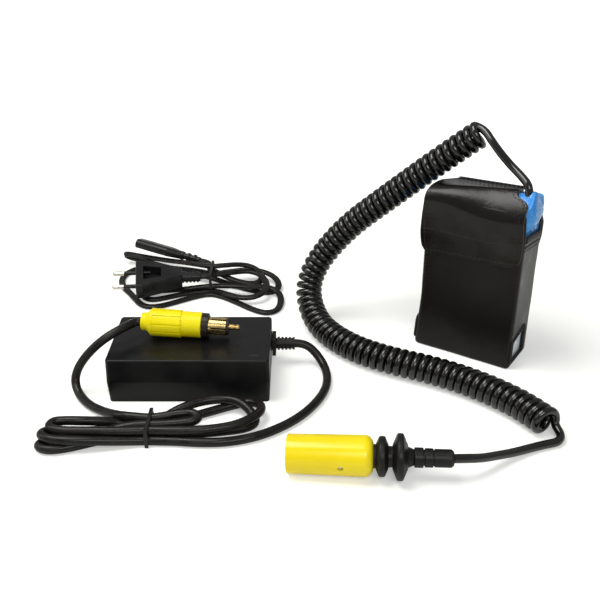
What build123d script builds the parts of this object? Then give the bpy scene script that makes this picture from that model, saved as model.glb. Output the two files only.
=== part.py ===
from build123d import *
import os
from math import atan2, cos, degrees, hypot, pi, radians, sin, tan

# A mains adapter charger with its low-voltage lead and two-pole plug, the loose mains
# lead that feeds it, and the belt battery that it charges, in its pouch with a curly cord
# and an in-line socket.  Millimetres, +Z up.  The origin is the centre of the adapter's
# base; +X runs along the adapter to its output lead, +Y goes to its rear.

os.makedirs("parts", exist_ok=True)

SEAT_GAP = 0.05      # between a piece and what it rests on
FIT_GAP = 0.15       # round a piece that sits in another
MOVE_GAP = 0.4       # between pieces that move past each other


def save(shape, node):
    """Write one named piece."""
    export_step(shape, f"parts/{node}.step")


def block(x_range, y_range, z_range):
    """A box between the given limits."""
    (x0, x1), (y0, y1), (z0, z1) = x_range, y_range, z_range
    return Pos((x0 + x1) / 2, (y0 + y1) / 2, (z0 + z1) / 2) * Box(x1 - x0, y1 - y0, z1 - z0)


def rod(radius, height, x=0.0, y=0.0, z=0.0):
    """A cylinder standing on height z."""
    return Pos(x, y, z) * Cylinder(radius, height, align=(Align.CENTER, Align.CENTER, Align.MIN))


def turned(*profile):
    """A solid turned about Z; the profile is (radius, height) points."""
    outline = Polyline(*[(radius, 0, height) for radius, height in profile], close=True)
    return revolve(make_face(outline), Axis.Z)


def plate(outline, thickness, plane=Plane.XY, corner=0.0):
    """A flat piece of the outline's shape, its corners rounded, pushed along the plane's normal."""
    face = make_face(Polyline(*outline, close=True))
    if corner:
        face = fillet(face.vertices(), corner)
    return extrude(plane * face, thickness)


def on_axis(start, direction, roll=0.0):
    """The place of a piece whose own Z runs from start along direction."""
    plane = Plane(origin=start, z_dir=direction)
    return plane.location * Rot(0, 0, roll)


def heading(yaw, pitch):
    """The unit vector at a yaw about Z and a pitch above level, in degrees."""
    return Vector(cos(radians(yaw)) * cos(radians(pitch)), sin(radians(yaw)) * cos(radians(pitch)),
                  sin(radians(pitch)))


def cord_tube(name, points, diameter):
    """A round cord: straight runs joined by the largest tangent arcs that they leave room for."""
    points = [Vector(*point) for point in points]
    radii = []
    for before, corner, after in zip(points, points[1:], points[2:]):
        run_in, run_out = corner - before, after - corner
        turn = radians(run_in.get_angle(run_out))
        radii.append(0.45 * min(run_in.length, run_out.length) / tan(turn / 2))
    path = FilletPolyline(*points, radius=radii) if radii else Line(*points)
    section = Plane(origin=path @ 0, z_dir=path % 0) * Circle(diameter / 2)
    tube = sweep(section, path)
    expected = pi * diameter ** 2 / 4 * path.length
    print(f"{name}: {path.length:.0f} mm, radii {[round(r) for r in radii]},"
          f" volume over section times length {tube.volume / expected:.4f}")
    return tube


# ---------------------------------------------------------------- adapter case
case_length = 108.0
case_depth = 61.0
case_height = 32.2
case_parting = 15.5          # height of the line between the two shells
case_flare = 0.5             # how far that line stands out past the top face's edge
case_foot_inset = 0.8        # how far the base's edge is inside that line
case_wall = 2.2
case_corner = 2.5
case_top_edge = 1.0
tongue_height = 1.6
tongue_thickness = 1.0

parting_length = case_length + 2 * case_flare
parting_depth = case_depth + 2 * case_flare
inner_length = case_length - 2 * case_wall
inner_depth = case_depth - 2 * case_wall
inner_corner = max(case_corner - case_wall, 0.3)
case_right = parting_length / 2

board_end_room = 5.5         # from the board's ends and sides to the case's
board_length = case_length - 2 * board_end_room
board_depth = case_depth - 2 * board_end_room
board_thickness = 1.6
post_height = 5.4
post_radius = 3.0
post_inset = 4.5             # from the board's edges to the posts' axes
lamp_room = 8.4              # how far the front right post stands aside for the lamp
board_bottom = case_wall + post_height
board_top = board_bottom + board_thickness

screw_radius = 1.25
screw_head_radius = 2.4
screw_head_height = 1.5
screw_length = 6.0

inlet_depth = 15.0
inlet_width = 19.4
inlet_height = 11.4
inlet_recess_width = 16.6
inlet_recess_height = 8.8
inlet_recess_depth = 12.5
inlet_pin_radius = 1.18
inlet_pin_spacing = 8.6
inlet_pin_length = 9.0       # the bare part, inside the recess
inlet_shank_radius = 1.4     # the part moulded into the housing
inlet_z = board_top + SEAT_GAP + inlet_height / 2
inlet_face_x = -case_length / 2

relief_y = case_depth / 2 - 10.5
relief_z = 16.0
relief_flange = 14.4
relief_flange_width = 12.8
relief_flange_thickness = 2.6
relief_flange_corner = 1.5
relief_neck_radius = 4.7
relief_rib_radius = 4.75
relief_core_radius = 3.8
relief_tail = 13.4
relief_ribs = 5
relief_inner_flange = 2.2

lens_x = case_length / 2 - 10.2
lens_y = 7.1 - case_depth / 2
lens_length = 6.6
lens_width = 1.1
lens_flange = 1.2


def case_outline(length, depth, z):
    return Pos(0, 0, z) * RectangleRounded(length, depth, case_corner)


def case_ring(length, depth, z, height):
    """A block with the cavity's outline, grown to the given size."""
    return extrude(Pos(0, 0, z) * RectangleRounded(length, depth, inner_corner), height)


def board_posts():
    """The places of the four board posts."""
    x, y = board_length / 2 - post_inset, board_depth / 2 - post_inset
    return [Pos(-x, -y), Pos(-x, y), Pos(x, y), Pos(x - lamp_room, -y)]


def make_case():
    tongue_length = inner_length + 2 * tongue_thickness
    tongue_depth = inner_depth + 2 * tongue_thickness
    inlet_notch = block((inlet_face_x - case_flare - 1, inlet_face_x + case_wall + 1),
                        (-inlet_width / 2 - FIT_GAP, inlet_width / 2 + FIT_GAP),
                        (inlet_z - inlet_height / 2 - FIT_GAP, inlet_z + inlet_height / 2 + FIT_GAP))
    relief_hole = on_axis((case_right - case_wall - 2 * case_flare - 1, relief_y, relief_z), (1, 0, 0)) \
        * rod(relief_neck_radius + FIT_GAP, case_wall + 4 * case_flare + 2)

    upper = loft([case_outline(parting_length, parting_depth, case_parting),
                  case_outline(case_length, case_depth, case_height)])
    upper = fillet(upper.faces().sort_by(Axis.Z)[-1].edges(), case_top_edge)
    upper -= case_ring(inner_length, inner_depth, case_parting - 1,
                       case_height - case_wall - case_parting + 1)
    upper -= case_ring(tongue_length + 2 * FIT_GAP, tongue_depth + 2 * FIT_GAP, case_parting - 1,
                       tongue_height + FIT_GAP + 1)
    upper -= block((lens_x - lens_length / 2 - FIT_GAP, lens_x + lens_length / 2 + FIT_GAP),
                   (lens_y - lens_width / 2 - FIT_GAP, lens_y + lens_width / 2 + FIT_GAP),
                   (case_height - case_wall - 1, case_height + 1))

    lower = loft([case_outline(parting_length - 2 * case_foot_inset, parting_depth - 2 * case_foot_inset, 0),
                  case_outline(parting_length, parting_depth, case_parting)])
    lower += case_ring(tongue_length, tongue_depth, case_parting - 1, tongue_height + 1)
    lower -= case_ring(inner_length, inner_depth, case_wall, case_parting + tongue_height)
    for place in board_posts():
        lower += place * rod(post_radius, board_bottom - SEAT_GAP - case_wall / 2, z=case_wall / 2)
        lower -= place * rod(screw_radius + 0.02, screw_length, z=board_top + SEAT_GAP - screw_length - 0.5)

    save(upper - inlet_notch - relief_hole, "adapter_upper_shell")
    save(lower - inlet_notch - relief_hole, "adapter_lower_shell")

    lens_bottom = case_height - case_wall - SEAT_GAP
    lens = block((lens_x - lens_length / 2, lens_x + lens_length / 2),
                 (lens_y - lens_width / 2, lens_y + lens_width / 2), (lens_bottom, case_height))
    lens += block((lens_x - lens_length / 2 - 1, lens_x + lens_length / 2 + 1),
                  (lens_y - lens_width / 2 - 1, lens_y + lens_width / 2 + 1),
                  (lens_bottom - lens_flange, lens_bottom))
    save(lens, "status_lens")


# ---------------------------------------------------------------- adapter circuit
part_gap = 0.3               # air between neighbouring electrical parts

board_right, board_rear = board_length / 2, board_depth / 2
inlet_back = inlet_face_x + inlet_depth

part_top_room = 0.75        # from the tallest part to the lid
part_room = case_height - case_wall - board_top - SEAT_GAP - part_top_room
core_length, core_depth, core_height = 28.0, 14.0, part_room
core_leg = 5.0
core_centre_leg = 8.0
winding_overhang = 4.5       # how far the winding stands out of the core, front and rear

fuse_radius, fuse_length = 2.6, 20.0
fuse_side_gap = 1.3         # from the inlet's side to the fuse
fuse_x = inlet_back - 2.4 + fuse_length / 2
fuse_y = -(inlet_width / 2 + fuse_side_gap + fuse_radius)

bulk_radius, bulk_length = 8.0, 26.0
bulk_x, bulk_y = fuse_x + (fuse_length + bulk_length) / 2 + 0.4, 10.5 - board_rear

choke_outer, choke_inner, choke_height = 7.8, 4.0, 8.0
choke_x, choke_y = inlet_back + 2.2 + choke_outer, board_rear - 13.0

sink_thickness, sink_height = 2.5, part_room - 2.0
switch_sink_y, switch_sink_x = board_rear - 1.6, (-22.0, 6.0)
diode_sink_x, diode_sink_y = board_right - 15.9, (-15.5, 3.5)
transformer_x, transformer_y = diode_sink_x - 20.6, 8.0
transistor_width, transistor_depth, transistor_height = 10.2, 4.5, sink_height - 3.0
switch_x = -10.0
diode_y = -7.0

smoothing_step = 11.0
smoothing_x, smoothing_rear = board_right - 7.5, board_rear - 12.0
smoothing_y = [smoothing_rear - k * smoothing_step for k in (2, 1, 0)]
smoothing_radius, smoothing_height = 5.0, part_room - 4.0

led_radius = 1.5


def make_circuit():
    floor = board_top + SEAT_GAP
    board = block((-board_length / 2, board_length / 2), (-board_depth / 2, board_depth / 2),
                  (board_bottom, board_top))
    screws = []
    for place in board_posts():
        board -= place * rod(screw_radius + FIT_GAP, board_thickness + 2, z=board_bottom - 1)
        screws.append(place * (rod(screw_radius, screw_length, z=floor - screw_length)
                               + rod(screw_head_radius, screw_head_height, z=floor)))
    save(board, "circuit_board")
    save(Compound(children=screws), "board_screws")

    housing = block((inlet_face_x, inlet_face_x + inlet_depth), (-inlet_width / 2, inlet_width / 2),
                    (inlet_z - inlet_height / 2, inlet_z + inlet_height / 2))
    mouth = Plane(origin=(inlet_face_x, 0, inlet_z), x_dir=(0, 1, 0), z_dir=(1, 0, 0))
    housing -= extrude(mouth * SlotOverall(inlet_recess_width, inlet_recess_height), inlet_recess_depth)
    pins = []
    for side in (-1, 1):
        pin_tip = inlet_face_x + inlet_recess_depth - inlet_pin_length
        pin_start = (pin_tip, side * inlet_pin_spacing / 2, inlet_z)
        place = on_axis(pin_start, (1, 0, 0))
        shank = place * rod(inlet_shank_radius, inlet_depth - inlet_recess_depth + 2, z=inlet_pin_length)
        housing -= shank
        pin = place * rod(inlet_pin_radius, inlet_pin_length)
        pins.append(fillet(pin.edges().sort_by(Axis.X)[0], inlet_pin_radius * 0.5) + shank)
    save(housing, "mains_inlet")
    save(Compound(children=pins), "mains_inlet_pins")

    core = block((-core_length / 2, core_length / 2), (-core_depth / 2, core_depth / 2), (0, core_height))
    window = (core_length - 2 * core_leg - core_centre_leg) / 2
    winding_top = core_height - core_leg
    for side in (-1, 1):
        middle = side * (core_centre_leg + window) / 2
        core -= block((middle - window / 2, middle + window / 2), (-core_depth, core_depth),
                      (core_leg, winding_top))
    winding = block((-core_length / 2 + core_leg + part_gap, core_length / 2 - core_leg - part_gap),
                    (-core_depth / 2 - winding_overhang, core_depth / 2 + winding_overhang),
                    (core_leg + part_gap, winding_top - part_gap))
    winding = fillet(winding.edges().filter_by(Axis.Z), 2.0)
    winding -= block((-core_centre_leg / 2 - part_gap, core_centre_leg / 2 + part_gap),
                     (-core_depth / 2 - part_gap, core_depth / 2 + part_gap), (0, core_height))
    stand = Pos(transformer_x, transformer_y, floor)
    save(stand * core, "transformer_core")
    save(stand * winding, "transformer_winding")

    bulk_start = (bulk_x - bulk_length / 2, bulk_y, floor + bulk_radius)
    bulk = on_axis(bulk_start, (1, 0, 0)) * rod(bulk_radius, bulk_length)
    save(fillet(bulk.edges(), 1.0), "bulk_capacitor")

    ring = rod(choke_outer, choke_height, choke_x, choke_y, floor) \
        - rod(choke_inner, choke_height, choke_x, choke_y, floor)
    save(fillet(ring.edges(), 1.5), "filter_choke")

    fuse_start = (fuse_x - fuse_length / 2, fuse_y, floor + fuse_radius)
    glass = on_axis(fuse_start, (1, 0, 0)) * rod(fuse_radius, fuse_length)
    save(glass, "fuse")

    half_sink = sink_thickness / 2
    switch_sink = block(switch_sink_x, (switch_sink_y - half_sink, switch_sink_y + half_sink),
                        (floor, floor + sink_height))
    diode_sink = block((diode_sink_x - half_sink, diode_sink_x + half_sink), diode_sink_y,
                       (floor, floor + sink_height))
    save(Compound(children=[switch_sink, diode_sink]), "heat_sinks")

    half = transistor_width / 2
    switch_front = switch_sink_y - sink_thickness / 2 - SEAT_GAP
    diode_front = diode_sink_x - sink_thickness / 2 - SEAT_GAP
    height = (floor + 1.5, floor + 1.5 + transistor_height)
    switch = block((switch_x - half, switch_x + half),
                   (switch_front - transistor_depth, switch_front), height)
    diode = block((diode_front - transistor_depth, diode_front), (diode_y - half, diode_y + half), height)
    save(Compound(children=[switch, diode]), "power_transistors")

    cans = [rod(smoothing_radius, smoothing_height, smoothing_x, y, floor) for y in smoothing_y]
    save(Compound(children=[fillet(can.edges(), 0.6) for can in cans]), "smoothing_capacitors")

    led_top = case_height - case_wall - lens_flange - 2 * SEAT_GAP - 0.2
    led = rod(led_radius, led_top - floor - led_radius, lens_x, lens_y + 0.4, floor)
    led += Pos(lens_x, lens_y + 0.4, led_top - led_radius) * Sphere(led_radius)
    save(led, "status_led")


def make_strain_relief():
    """The grommet that holds the output lead in the case's right wall."""
    wall_inside = inner_length / 2
    seat = case_right + SEAT_GAP
    along = on_axis((0, relief_y, relief_z), (1, 0, 0))
    flange = Plane(origin=(seat, relief_y, relief_z), x_dir=(0, 1, 0), z_dir=(1, 0, 0))
    body = extrude(flange * RectangleRounded(relief_flange_width, relief_flange, relief_flange_corner),
                   relief_flange_thickness)
    body += along * rod(relief_neck_radius, seat - wall_inside + SEAT_GAP, z=wall_inside - SEAT_GAP)
    body += along * rod(relief_neck_radius + 1.3, relief_inner_flange,
                        z=wall_inside - SEAT_GAP - relief_inner_flange)
    tail_start = seat + relief_flange_thickness
    body += along * rod(relief_core_radius, relief_tail, z=tail_start)
    pitch = relief_tail / relief_ribs
    for index in range(relief_ribs):
        taper = relief_rib_radius - 0.06 * index
        body += along * rod(taper, pitch * 0.6, z=tail_start + pitch * (index + 0.4))
    save(body, "output_strain_relief")
    return Vector(tail_start + relief_tail, relief_y, relief_z)


# ---------------------------------------------------------------- low-voltage plug
lead_diameter = 6.0

nose_radius, nose_length = 6.15, 3.4
grip_radius, flare_length, grip_length = 9.5, 3.6, 20.4
grip_flutes, flute_width, flute_depth = 10, 1.5, 0.5
front_radius, front_length = 8.8, 13.9
collar_radius, collar_length = 8.5, 4.8
sleeve_radius, sleeve_wall, sleeve_length = 6.0, 0.9, 11.8
sleeve_slots, slot_width, slot_start = 6, 1.1, 1.5
end_ring_radius, end_ring_length = 5.65, 1.8
tip_radius, tip_length = 2.0, 7.7
tip_groove_depth, tip_groove_width = 0.45, 1.2
stub_radius, stub_length = 6.6, 9.0
cap_wall = 1.6
carrier_radius = 4.2         # the insulating core inside the sleeve

cap_length = nose_length + flare_length + grip_length
collar_start = cap_length + front_length
sleeve_start = collar_start + collar_length
ring_start = sleeve_start + sleeve_length
tip_start = ring_start + end_ring_length

plug_yaw = -2.4
plug_rear_x, plug_rear_y = -34.0, 3.6
# The plug lies on the adapter's lid on the fat end of its grip and on its thinner collar.
plug_pitch = -degrees(atan2(grip_radius - collar_radius, sleeve_start - cap_length))
plug_axis = heading(plug_yaw, plug_pitch)
plug_rear_z = case_height + SEAT_GAP + grip_radius * cos(radians(plug_pitch)) \
    - cap_length * sin(radians(plug_pitch))
plug_rear = Vector(plug_rear_x, plug_rear_y, plug_rear_z)


def make_plug():
    place = on_axis(plug_rear, plug_axis)
    inside = stub_radius + FIT_GAP
    cord_bore = lead_diameter / 2 + SEAT_GAP
    grip_start = nose_length + flare_length
    cap = turned((0, 0), (nose_radius - 0.6, 0), (nose_radius, 0.6), (nose_radius, nose_length),
                 (grip_radius, grip_start), (grip_radius, cap_length), (0, cap_length))
    cap -= rod(inside, cap_length, z=grip_start + cap_wall)
    cap -= rod(cord_bore, grip_start + cap_wall + 2, z=-1)
    flute = Pos(grip_radius, 0, grip_start + grip_length / 2 + 1) \
        * Box(2 * flute_depth, flute_width, grip_length)
    for index in range(grip_flutes):
        cap -= Rot(0, 0, 360 / grip_flutes * index) * flute
    save(place * cap, "plug_cap")

    front = rod(front_radius, front_length, z=cap_length)
    front = fillet(front.edges().sort_by(Axis.Z)[-1], 0.6)
    front += rod(stub_radius, stub_length + 0.5, z=cap_length - stub_length)
    socket_depth = 3.0
    front -= rod(sleeve_radius + SEAT_GAP, socket_depth + 1, z=collar_start - socket_depth)
    front -= rod(lead_diameter / 2 + SEAT_GAP, cap_length + front_length, z=cap_length - stub_length - 1)
    save(place * front, "plug_body")

    collar = rod(collar_radius, collar_length, z=collar_start)
    collar -= rod(sleeve_radius + SEAT_GAP, collar_length + 2, z=collar_start - 1)
    save(place * chamfer(collar.edges().group_by(Axis.Z)[-1], 0.4), "plug_collar")

    sleeve_foot = collar_start - socket_depth + SEAT_GAP
    sleeve = rod(sleeve_radius, ring_start - sleeve_foot, z=sleeve_foot)
    sleeve -= rod(sleeve_radius - sleeve_wall, ring_start - sleeve_foot + 2, z=sleeve_foot - 1)
    slot = Pos(sleeve_radius, 0, sleeve_start + slot_start + sleeve_length / 2) \
        * Box(2 * sleeve_wall + 1, slot_width, sleeve_length)
    for index in range(sleeve_slots):
        sleeve -= Rot(0, 0, 360 / sleeve_slots * (index + 0.3)) * slot
    save(place * sleeve, "plug_sleeve_contact")

    bore = tip_radius * 0.8
    core = rod(carrier_radius, ring_start - sleeve_foot, z=sleeve_foot)
    core += rod(end_ring_radius, end_ring_length, z=ring_start)
    core -= rod(bore + SEAT_GAP, tip_start - sleeve_foot + 2, z=sleeve_foot - 1)
    save(place * core, "plug_insulator")

    groove = tip_start + tip_length * 0.45
    groove_radius = tip_radius - tip_groove_depth
    tip = turned((0, sleeve_foot), (bore, sleeve_foot), (bore, tip_start), (tip_radius, tip_start),
                 (tip_radius, groove), (groove_radius, groove + 0.3),
                 (groove_radius, groove + tip_groove_width), (tip_radius, groove + tip_groove_width + 0.3),
                 (tip_radius, tip_start + tip_length - 1.0), (tip_radius * 0.5, tip_start + tip_length),
                 (0, tip_start + tip_length))
    save(place * tip, "plug_tip_contact")


# ---------------------------------------------------------------- low-voltage lead
lead_rest = lead_diameter / 2 + SEAT_GAP      # height of its centreline on the floor

lead_loop_points = [(84.8, 17.2, 11.2), (91.6, 7.4, 5.2), (93.6, -6.0, 3.4),
                    (91.6, -20.5, lead_rest), (85.4, -35.5, lead_rest), (75.6, -50.6, lead_rest),
                    (62.6, -63.4, lead_rest), (47.0, -73.4, lead_rest), (29.6, -78.8, lead_rest),
                    (12.6, -79.4, lead_rest), (-2.5, -77.8, lead_rest)]
lead_return_points = [(-36.5, -60.2, 8.4), (-43.5, -56.6, 6.2), (-53.0, -48.8, 4.2), (-65.7, -38.7, 3.2),
                      (-74.9, -27.2, 4.4), (-78.6, -19.6, 9.4), (-76.6, -16.8, 17.2), (-70.6, -16.3, 26.2),
                      (-63.2, -15.2, 34.0), (-55.2, -12.6, 39.8), (-47.9, -7.6, 42.4), (-41.6, -0.6, 42.6)]

hank_neck_x = (-30.0, -12.0)
hank_neck_y = (-80.3, -56.4)
hank_height = 11.6
hank_left = [(-30.0, -80.3), (-30.0, -64.2), (-78.0, -62.6), (-87.0, -68.0), (-88.6, -80.0), (-80.0, -86.6),
             (-62.0, -85.6)]
hank_right = [(-12.0, -73.9), (2.0, -73.0), (26.0, -69.0), (44.0, -60.0), (51.0, -48.5), (48.0, -38.5),
              (37.0, -33.2), (20.0, -34.6), (2.0, -43.0), (-12.0, -56.4)]
hank_floor = 0.1

tie_x = -20.6
tie_width = 2.2
tie_thickness = 0.9


def make_output_lead(relief_end):
    hank_top = hank_floor + hank_height
    enter = (hank_neck_x[1], lead_loop_points[-1][1] + 0.05, lead_rest)
    leave = (hank_neck_x[0], *lead_return_points[0][1:])
    outward = relief_end + Vector(6.5, 0, 0)
    loop = cord_tube("output_lead", [relief_end, outward, *lead_loop_points, enter], lead_diameter)
    save(loop, "output_lead")

    plug_mouth = plug_rear - plug_axis * 3.0
    plug_inside = plug_rear + plug_axis * 5.0
    back = cord_tube("output_lead_to_plug", [leave, *lead_return_points, plug_mouth, plug_inside],
                     lead_diameter)
    save(back, "output_lead_to_plug")

    neck = block(hank_neck_x, hank_neck_y, (hank_floor, hank_top))
    left = plate(hank_left, hank_height, Plane.XY.offset(hank_floor), 3.0)
    left += block((hank_neck_x[0] - 6, hank_neck_x[0]), (hank_neck_y[0], -64.2), (hank_floor, hank_top))
    right = plate(hank_right, hank_height, Plane.XY.offset(hank_floor), 3.0)
    right += block((hank_neck_x[1], hank_neck_x[1] + 4), (-73.9, -57.5), (hank_floor, hank_top))
    save(neck + left + right, "output_lead_hank")

    grown = tie_thickness + SEAT_GAP
    front, rear = hank_neck_y
    outer = block((tie_x - tie_width / 2, tie_x + tie_width / 2), (front - grown, rear + grown),
                  (SEAT_GAP, hank_top + tie_thickness))
    inner = block((tie_x - tie_width, tie_x + tie_width), (front - SEAT_GAP, rear + SEAT_GAP),
                  (-1, hank_top + SEAT_GAP))
    save(outer - inner, "output_lead_tie")


# ---------------------------------------------------------------- mains plug
mains_tube = 4.4              # a round section with the flat twin cord's area
mains_rest = mains_tube / 2 + SEAT_GAP

mplug_face = Vector(-62.1, 126.4, 14.9)
mplug_yaw, mplug_pitch, mplug_roll = 9.0, -1.5, 10.5
mplug_width, mplug_thickness = 35.3, 13.7
mplug_bridge = 5.3            # thickness of the plate that carries the pins
mplug_body = 38.0
mplug_rear_width = 13.0
mplug_relief_length, mplug_relief_radius = 15.2, 4.6
mplug_pin_radius, mplug_pin_length, mplug_pin_spacing = 2.0, 19.0, 18.6
mplug_shank_radius = 1.4      # the metal inside the sleeve
mplug_sleeve_radius, mplug_sleeve_length = 1.75, 10.0
mplug_pin_seat = 12.0         # how far the pins reach into the body
mplug_pocket = (6.2, 21.0)
mplug_pocket_width = 19.0
mplug_pocket_depth = 8.0

mplug_along = heading(mplug_yaw, mplug_pitch)
mplug_end = mplug_face + mplug_along * (mplug_body + mplug_relief_length)


def lying(start, yaw, pitch, roll):
    """The place of a piece whose own X runs along the heading, rolled about it."""
    return Pos(*start) * Rot(0, 0, yaw) * Rot(0, -pitch, 0) * Rot(roll, 0, 0)


def make_mains_plug():
    place = lying(mplug_face, mplug_yaw, mplug_pitch, mplug_roll)
    half, rear_half = mplug_width / 2, mplug_rear_width / 2
    outline = [(0, -half), (mplug_bridge, -half), (mplug_body, -rear_half), (mplug_body, rear_half),
               (mplug_bridge, half), (0, half)]
    body = plate(outline, mplug_thickness, Plane.XY.offset(-mplug_thickness / 2), 1.5)
    body = fillet(body.faces().sort_by(Axis.Z)[-1].edges() + body.faces().sort_by(Axis.Z)[0].edges(), 1.2)
    pocket = [(mplug_pocket[0], -mplug_pocket_width / 2), (mplug_pocket[1], -mplug_pocket_width / 3),
              (mplug_pocket[1], mplug_pocket_width / 3), (mplug_pocket[0], mplug_pocket_width / 2)]
    pocket_floor = Plane.XY.offset(mplug_thickness / 2 - mplug_pocket_depth)
    body -= plate(pocket, mplug_pocket_depth + 1, pocket_floor, 1.0)
    rearward = Rot(0, 90, 0)
    relief = Pos(mplug_body - 1, 0, 0) * rearward * rod(mplug_relief_radius - 0.8, mplug_relief_length + 1)
    ribs = 5
    pitch = mplug_relief_length / ribs
    for index in range(ribs):
        relief += Pos(mplug_body + pitch * index, 0, 0) * rearward * rod(mplug_relief_radius, pitch * 0.55)
    body += relief
    pins, sleeves = [], []
    for side in (-1, 1):
        axis = Pos(0, side * mplug_pin_spacing / 2, 0) * Rot(0, -90, 0)
        body -= axis * rod(mplug_sleeve_radius, mplug_pin_seat + 1, z=-mplug_pin_seat)
        pin = turned((0, -mplug_pin_seat), (mplug_shank_radius, -mplug_pin_seat),
                     (mplug_shank_radius, mplug_sleeve_length),
                     (mplug_pin_radius, mplug_sleeve_length), (mplug_pin_radius, mplug_pin_length - 1),
                     (mplug_pin_radius - 1, mplug_pin_length), (0, mplug_pin_length))
        pins.append(place * axis * pin)
        sleeve = rod(mplug_sleeve_radius, mplug_pin_seat + mplug_sleeve_length, z=-mplug_pin_seat)
        sleeve -= rod(mplug_shank_radius, mplug_pin_length + mplug_pin_seat, z=-mplug_pin_seat - 1)
        sleeves.append(place * axis * sleeve)
    save(place * body, "mains_plug_body")
    save(Compound(children=pins), "mains_plug_pins")
    save(Compound(children=sleeves), "mains_plug_pin_sleeves")


# ---------------------------------------------------------------- mains connector
conn_face_at = (-68.8, 186.2, 22.0)
conn_end_at = (-13.2, 166.3, 14.0)
conn_roll = -20.0
conn_width, conn_thickness = 15.8, 8.0
conn_straight, conn_taper = 30.0, 12.0
conn_relief_radius = 3.4
conn_ribs = 3
contact_bore, contact_outer, contact_depth = 1.2, 1.8, 12.0

conn_face, conn_end = Vector(*conn_face_at), Vector(*conn_end_at)
conn_step = conn_end - conn_face
conn_length = conn_step.length
conn_yaw = degrees(atan2(conn_step.Y, conn_step.X))
conn_pitch = degrees(atan2(conn_step.Z, hypot(conn_step.X, conn_step.Y)))


def make_connector():
    place = lying(conn_face, conn_yaw, conn_pitch, conn_roll)
    across = Plane(origin=(0, 0, 0), x_dir=(0, 1, 0), z_dir=(1, 0, 0))
    body = extrude(across * SlotOverall(conn_width, conn_thickness), conn_straight)
    small = SlotOverall(2.6 * conn_relief_radius, 2 * conn_relief_radius)
    body += loft([across.offset(conn_straight) * SlotOverall(conn_width, conn_thickness),
                  across.offset(conn_straight + conn_taper) * small])
    tail = conn_length - conn_straight - conn_taper
    body += Pos(conn_straight + conn_taper, 0, 0) * Rot(0, 90, 0) * rod(conn_relief_radius - 0.6, tail)
    for index in range(conn_ribs):
        body += Pos(conn_straight + conn_taper + tail / conn_ribs * index, 0, 0) * Rot(0, 90, 0) \
            * rod(conn_relief_radius + 0.4, 2.0)
    contacts = []
    for side in (-1, 1):
        axis = Pos(0, side * inlet_pin_spacing / 2, 0) * Rot(0, 90, 0)
        body -= axis * rod(contact_outer, contact_depth + 1, z=-1)
        sleeve = rod(contact_outer, contact_depth, z=0) - rod(contact_bore, contact_depth, z=-1)
        contacts.append(place * axis * sleeve)
    save(place * body, "mains_connector_body")
    save(Compound(children=contacts), "mains_connector_contacts")


# ---------------------------------------------------------------- mains lead
mhank_neck_x = (-6.4, 4.0)
mhank_neck_y = (123.5, 150.0)
mhank_neck_height = 20.0
mhank_lobe_height = 8.0
mhank_arm_height = 4.2
mhank_floor = 0.1
mhank_lobe = [(0.0, 123.5), (8.0, 117.0), (22.0, 104.0), (37.0, 92.5), (50.0, 90.0), (58.5, 100.0),
              (60.5, 118.0), (58.0, 142.0), (47.0, 158.0), (28.0, 165.5), (8.0, 156.0), (0.0, 150.0)]
mhank_front_arm = [(0.0, 123.5), (0.0, 133.0), (-22.0, 121.5), (-40.0, 114.5), (-52.2, 114.0), (-57.8, 110.8),
                   (-55.5, 103.8), (-42.0, 102.4), (-22.0, 111.0)]
mhank_rear_arm = [(0.0, 139.0), (0.0, 150.0), (-30.0, 168.0), (-60.0, 186.0), (-76.0, 198.0), (-83.0, 194.0),
                  (-77.5, 187.0), (-63.7, 180.7), (-60.3, 175.3), (-32.0, 158.0)]
mconn_points = [(-3.9, 160.4, 13.4), (-3.8, 155.6, 13.6)]
mring_start = Vector(-62.0, 178.0, mains_rest)
mring_end = Vector(-55.0, 112.4, mains_rest)
mring_points = [(-70.0, 172.9, mains_rest), (-76.6, 165.2, mains_rest), (-79.4, 155.0, mains_rest),
                (-77.6, 144.6, mains_rest), (-72.4, 134.6, mains_rest), (-65.4, 126.4, mains_rest),
                (-59.0, 119.2, mains_rest)]


def make_mains_lead():
    reach = (mhank_neck_x[0] - 0.4 - mplug_end.X) / mplug_along.X
    at_plug = cord_tube("mains_lead_at_plug", [mplug_end, mplug_end + mplug_along * reach], mains_tube)
    save(at_plug, "mains_lead_at_plug")
    along = conn_step.normalized()
    from_connector = [conn_end, conn_end + along * 5.5, *mconn_points, (-3.8, mhank_neck_y[1], 13.6)]
    at_connector = cord_tube("mains_lead_at_connector", from_connector, mains_tube)
    save(at_connector, "mains_lead_at_connector")
    ring = cord_tube("mains_lead_ring", [mring_start, *mring_points, mring_end], mains_tube)
    save(ring, "mains_lead_ring")

    base = Plane.XY.offset(mhank_floor)
    neck = block(mhank_neck_x, mhank_neck_y, (mhank_floor, mhank_floor + mhank_neck_height))
    lobe = plate(mhank_lobe, mhank_lobe_height, base)
    front = plate(mhank_front_arm, mhank_arm_height, base)
    rear = plate(mhank_rear_arm, mhank_lobe_height, base)
    save(neck + lobe + front + rear, "mains_lead_hank")

    grown = tie_thickness + SEAT_GAP
    top = mhank_floor + mhank_neck_height
    tie = block((-tie_width / 2, tie_width / 2), (mhank_neck_y[0] - grown, mhank_neck_y[1] + grown),
                (mhank_lobe_height + mhank_floor + SEAT_GAP, top + grown))
    tie -= block((-tie_width, tie_width), (mhank_neck_y[0] - SEAT_GAP, mhank_neck_y[1] + SEAT_GAP),
                 (0, top + SEAT_GAP))
    save(tie, "mains_lead_tie")


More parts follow.
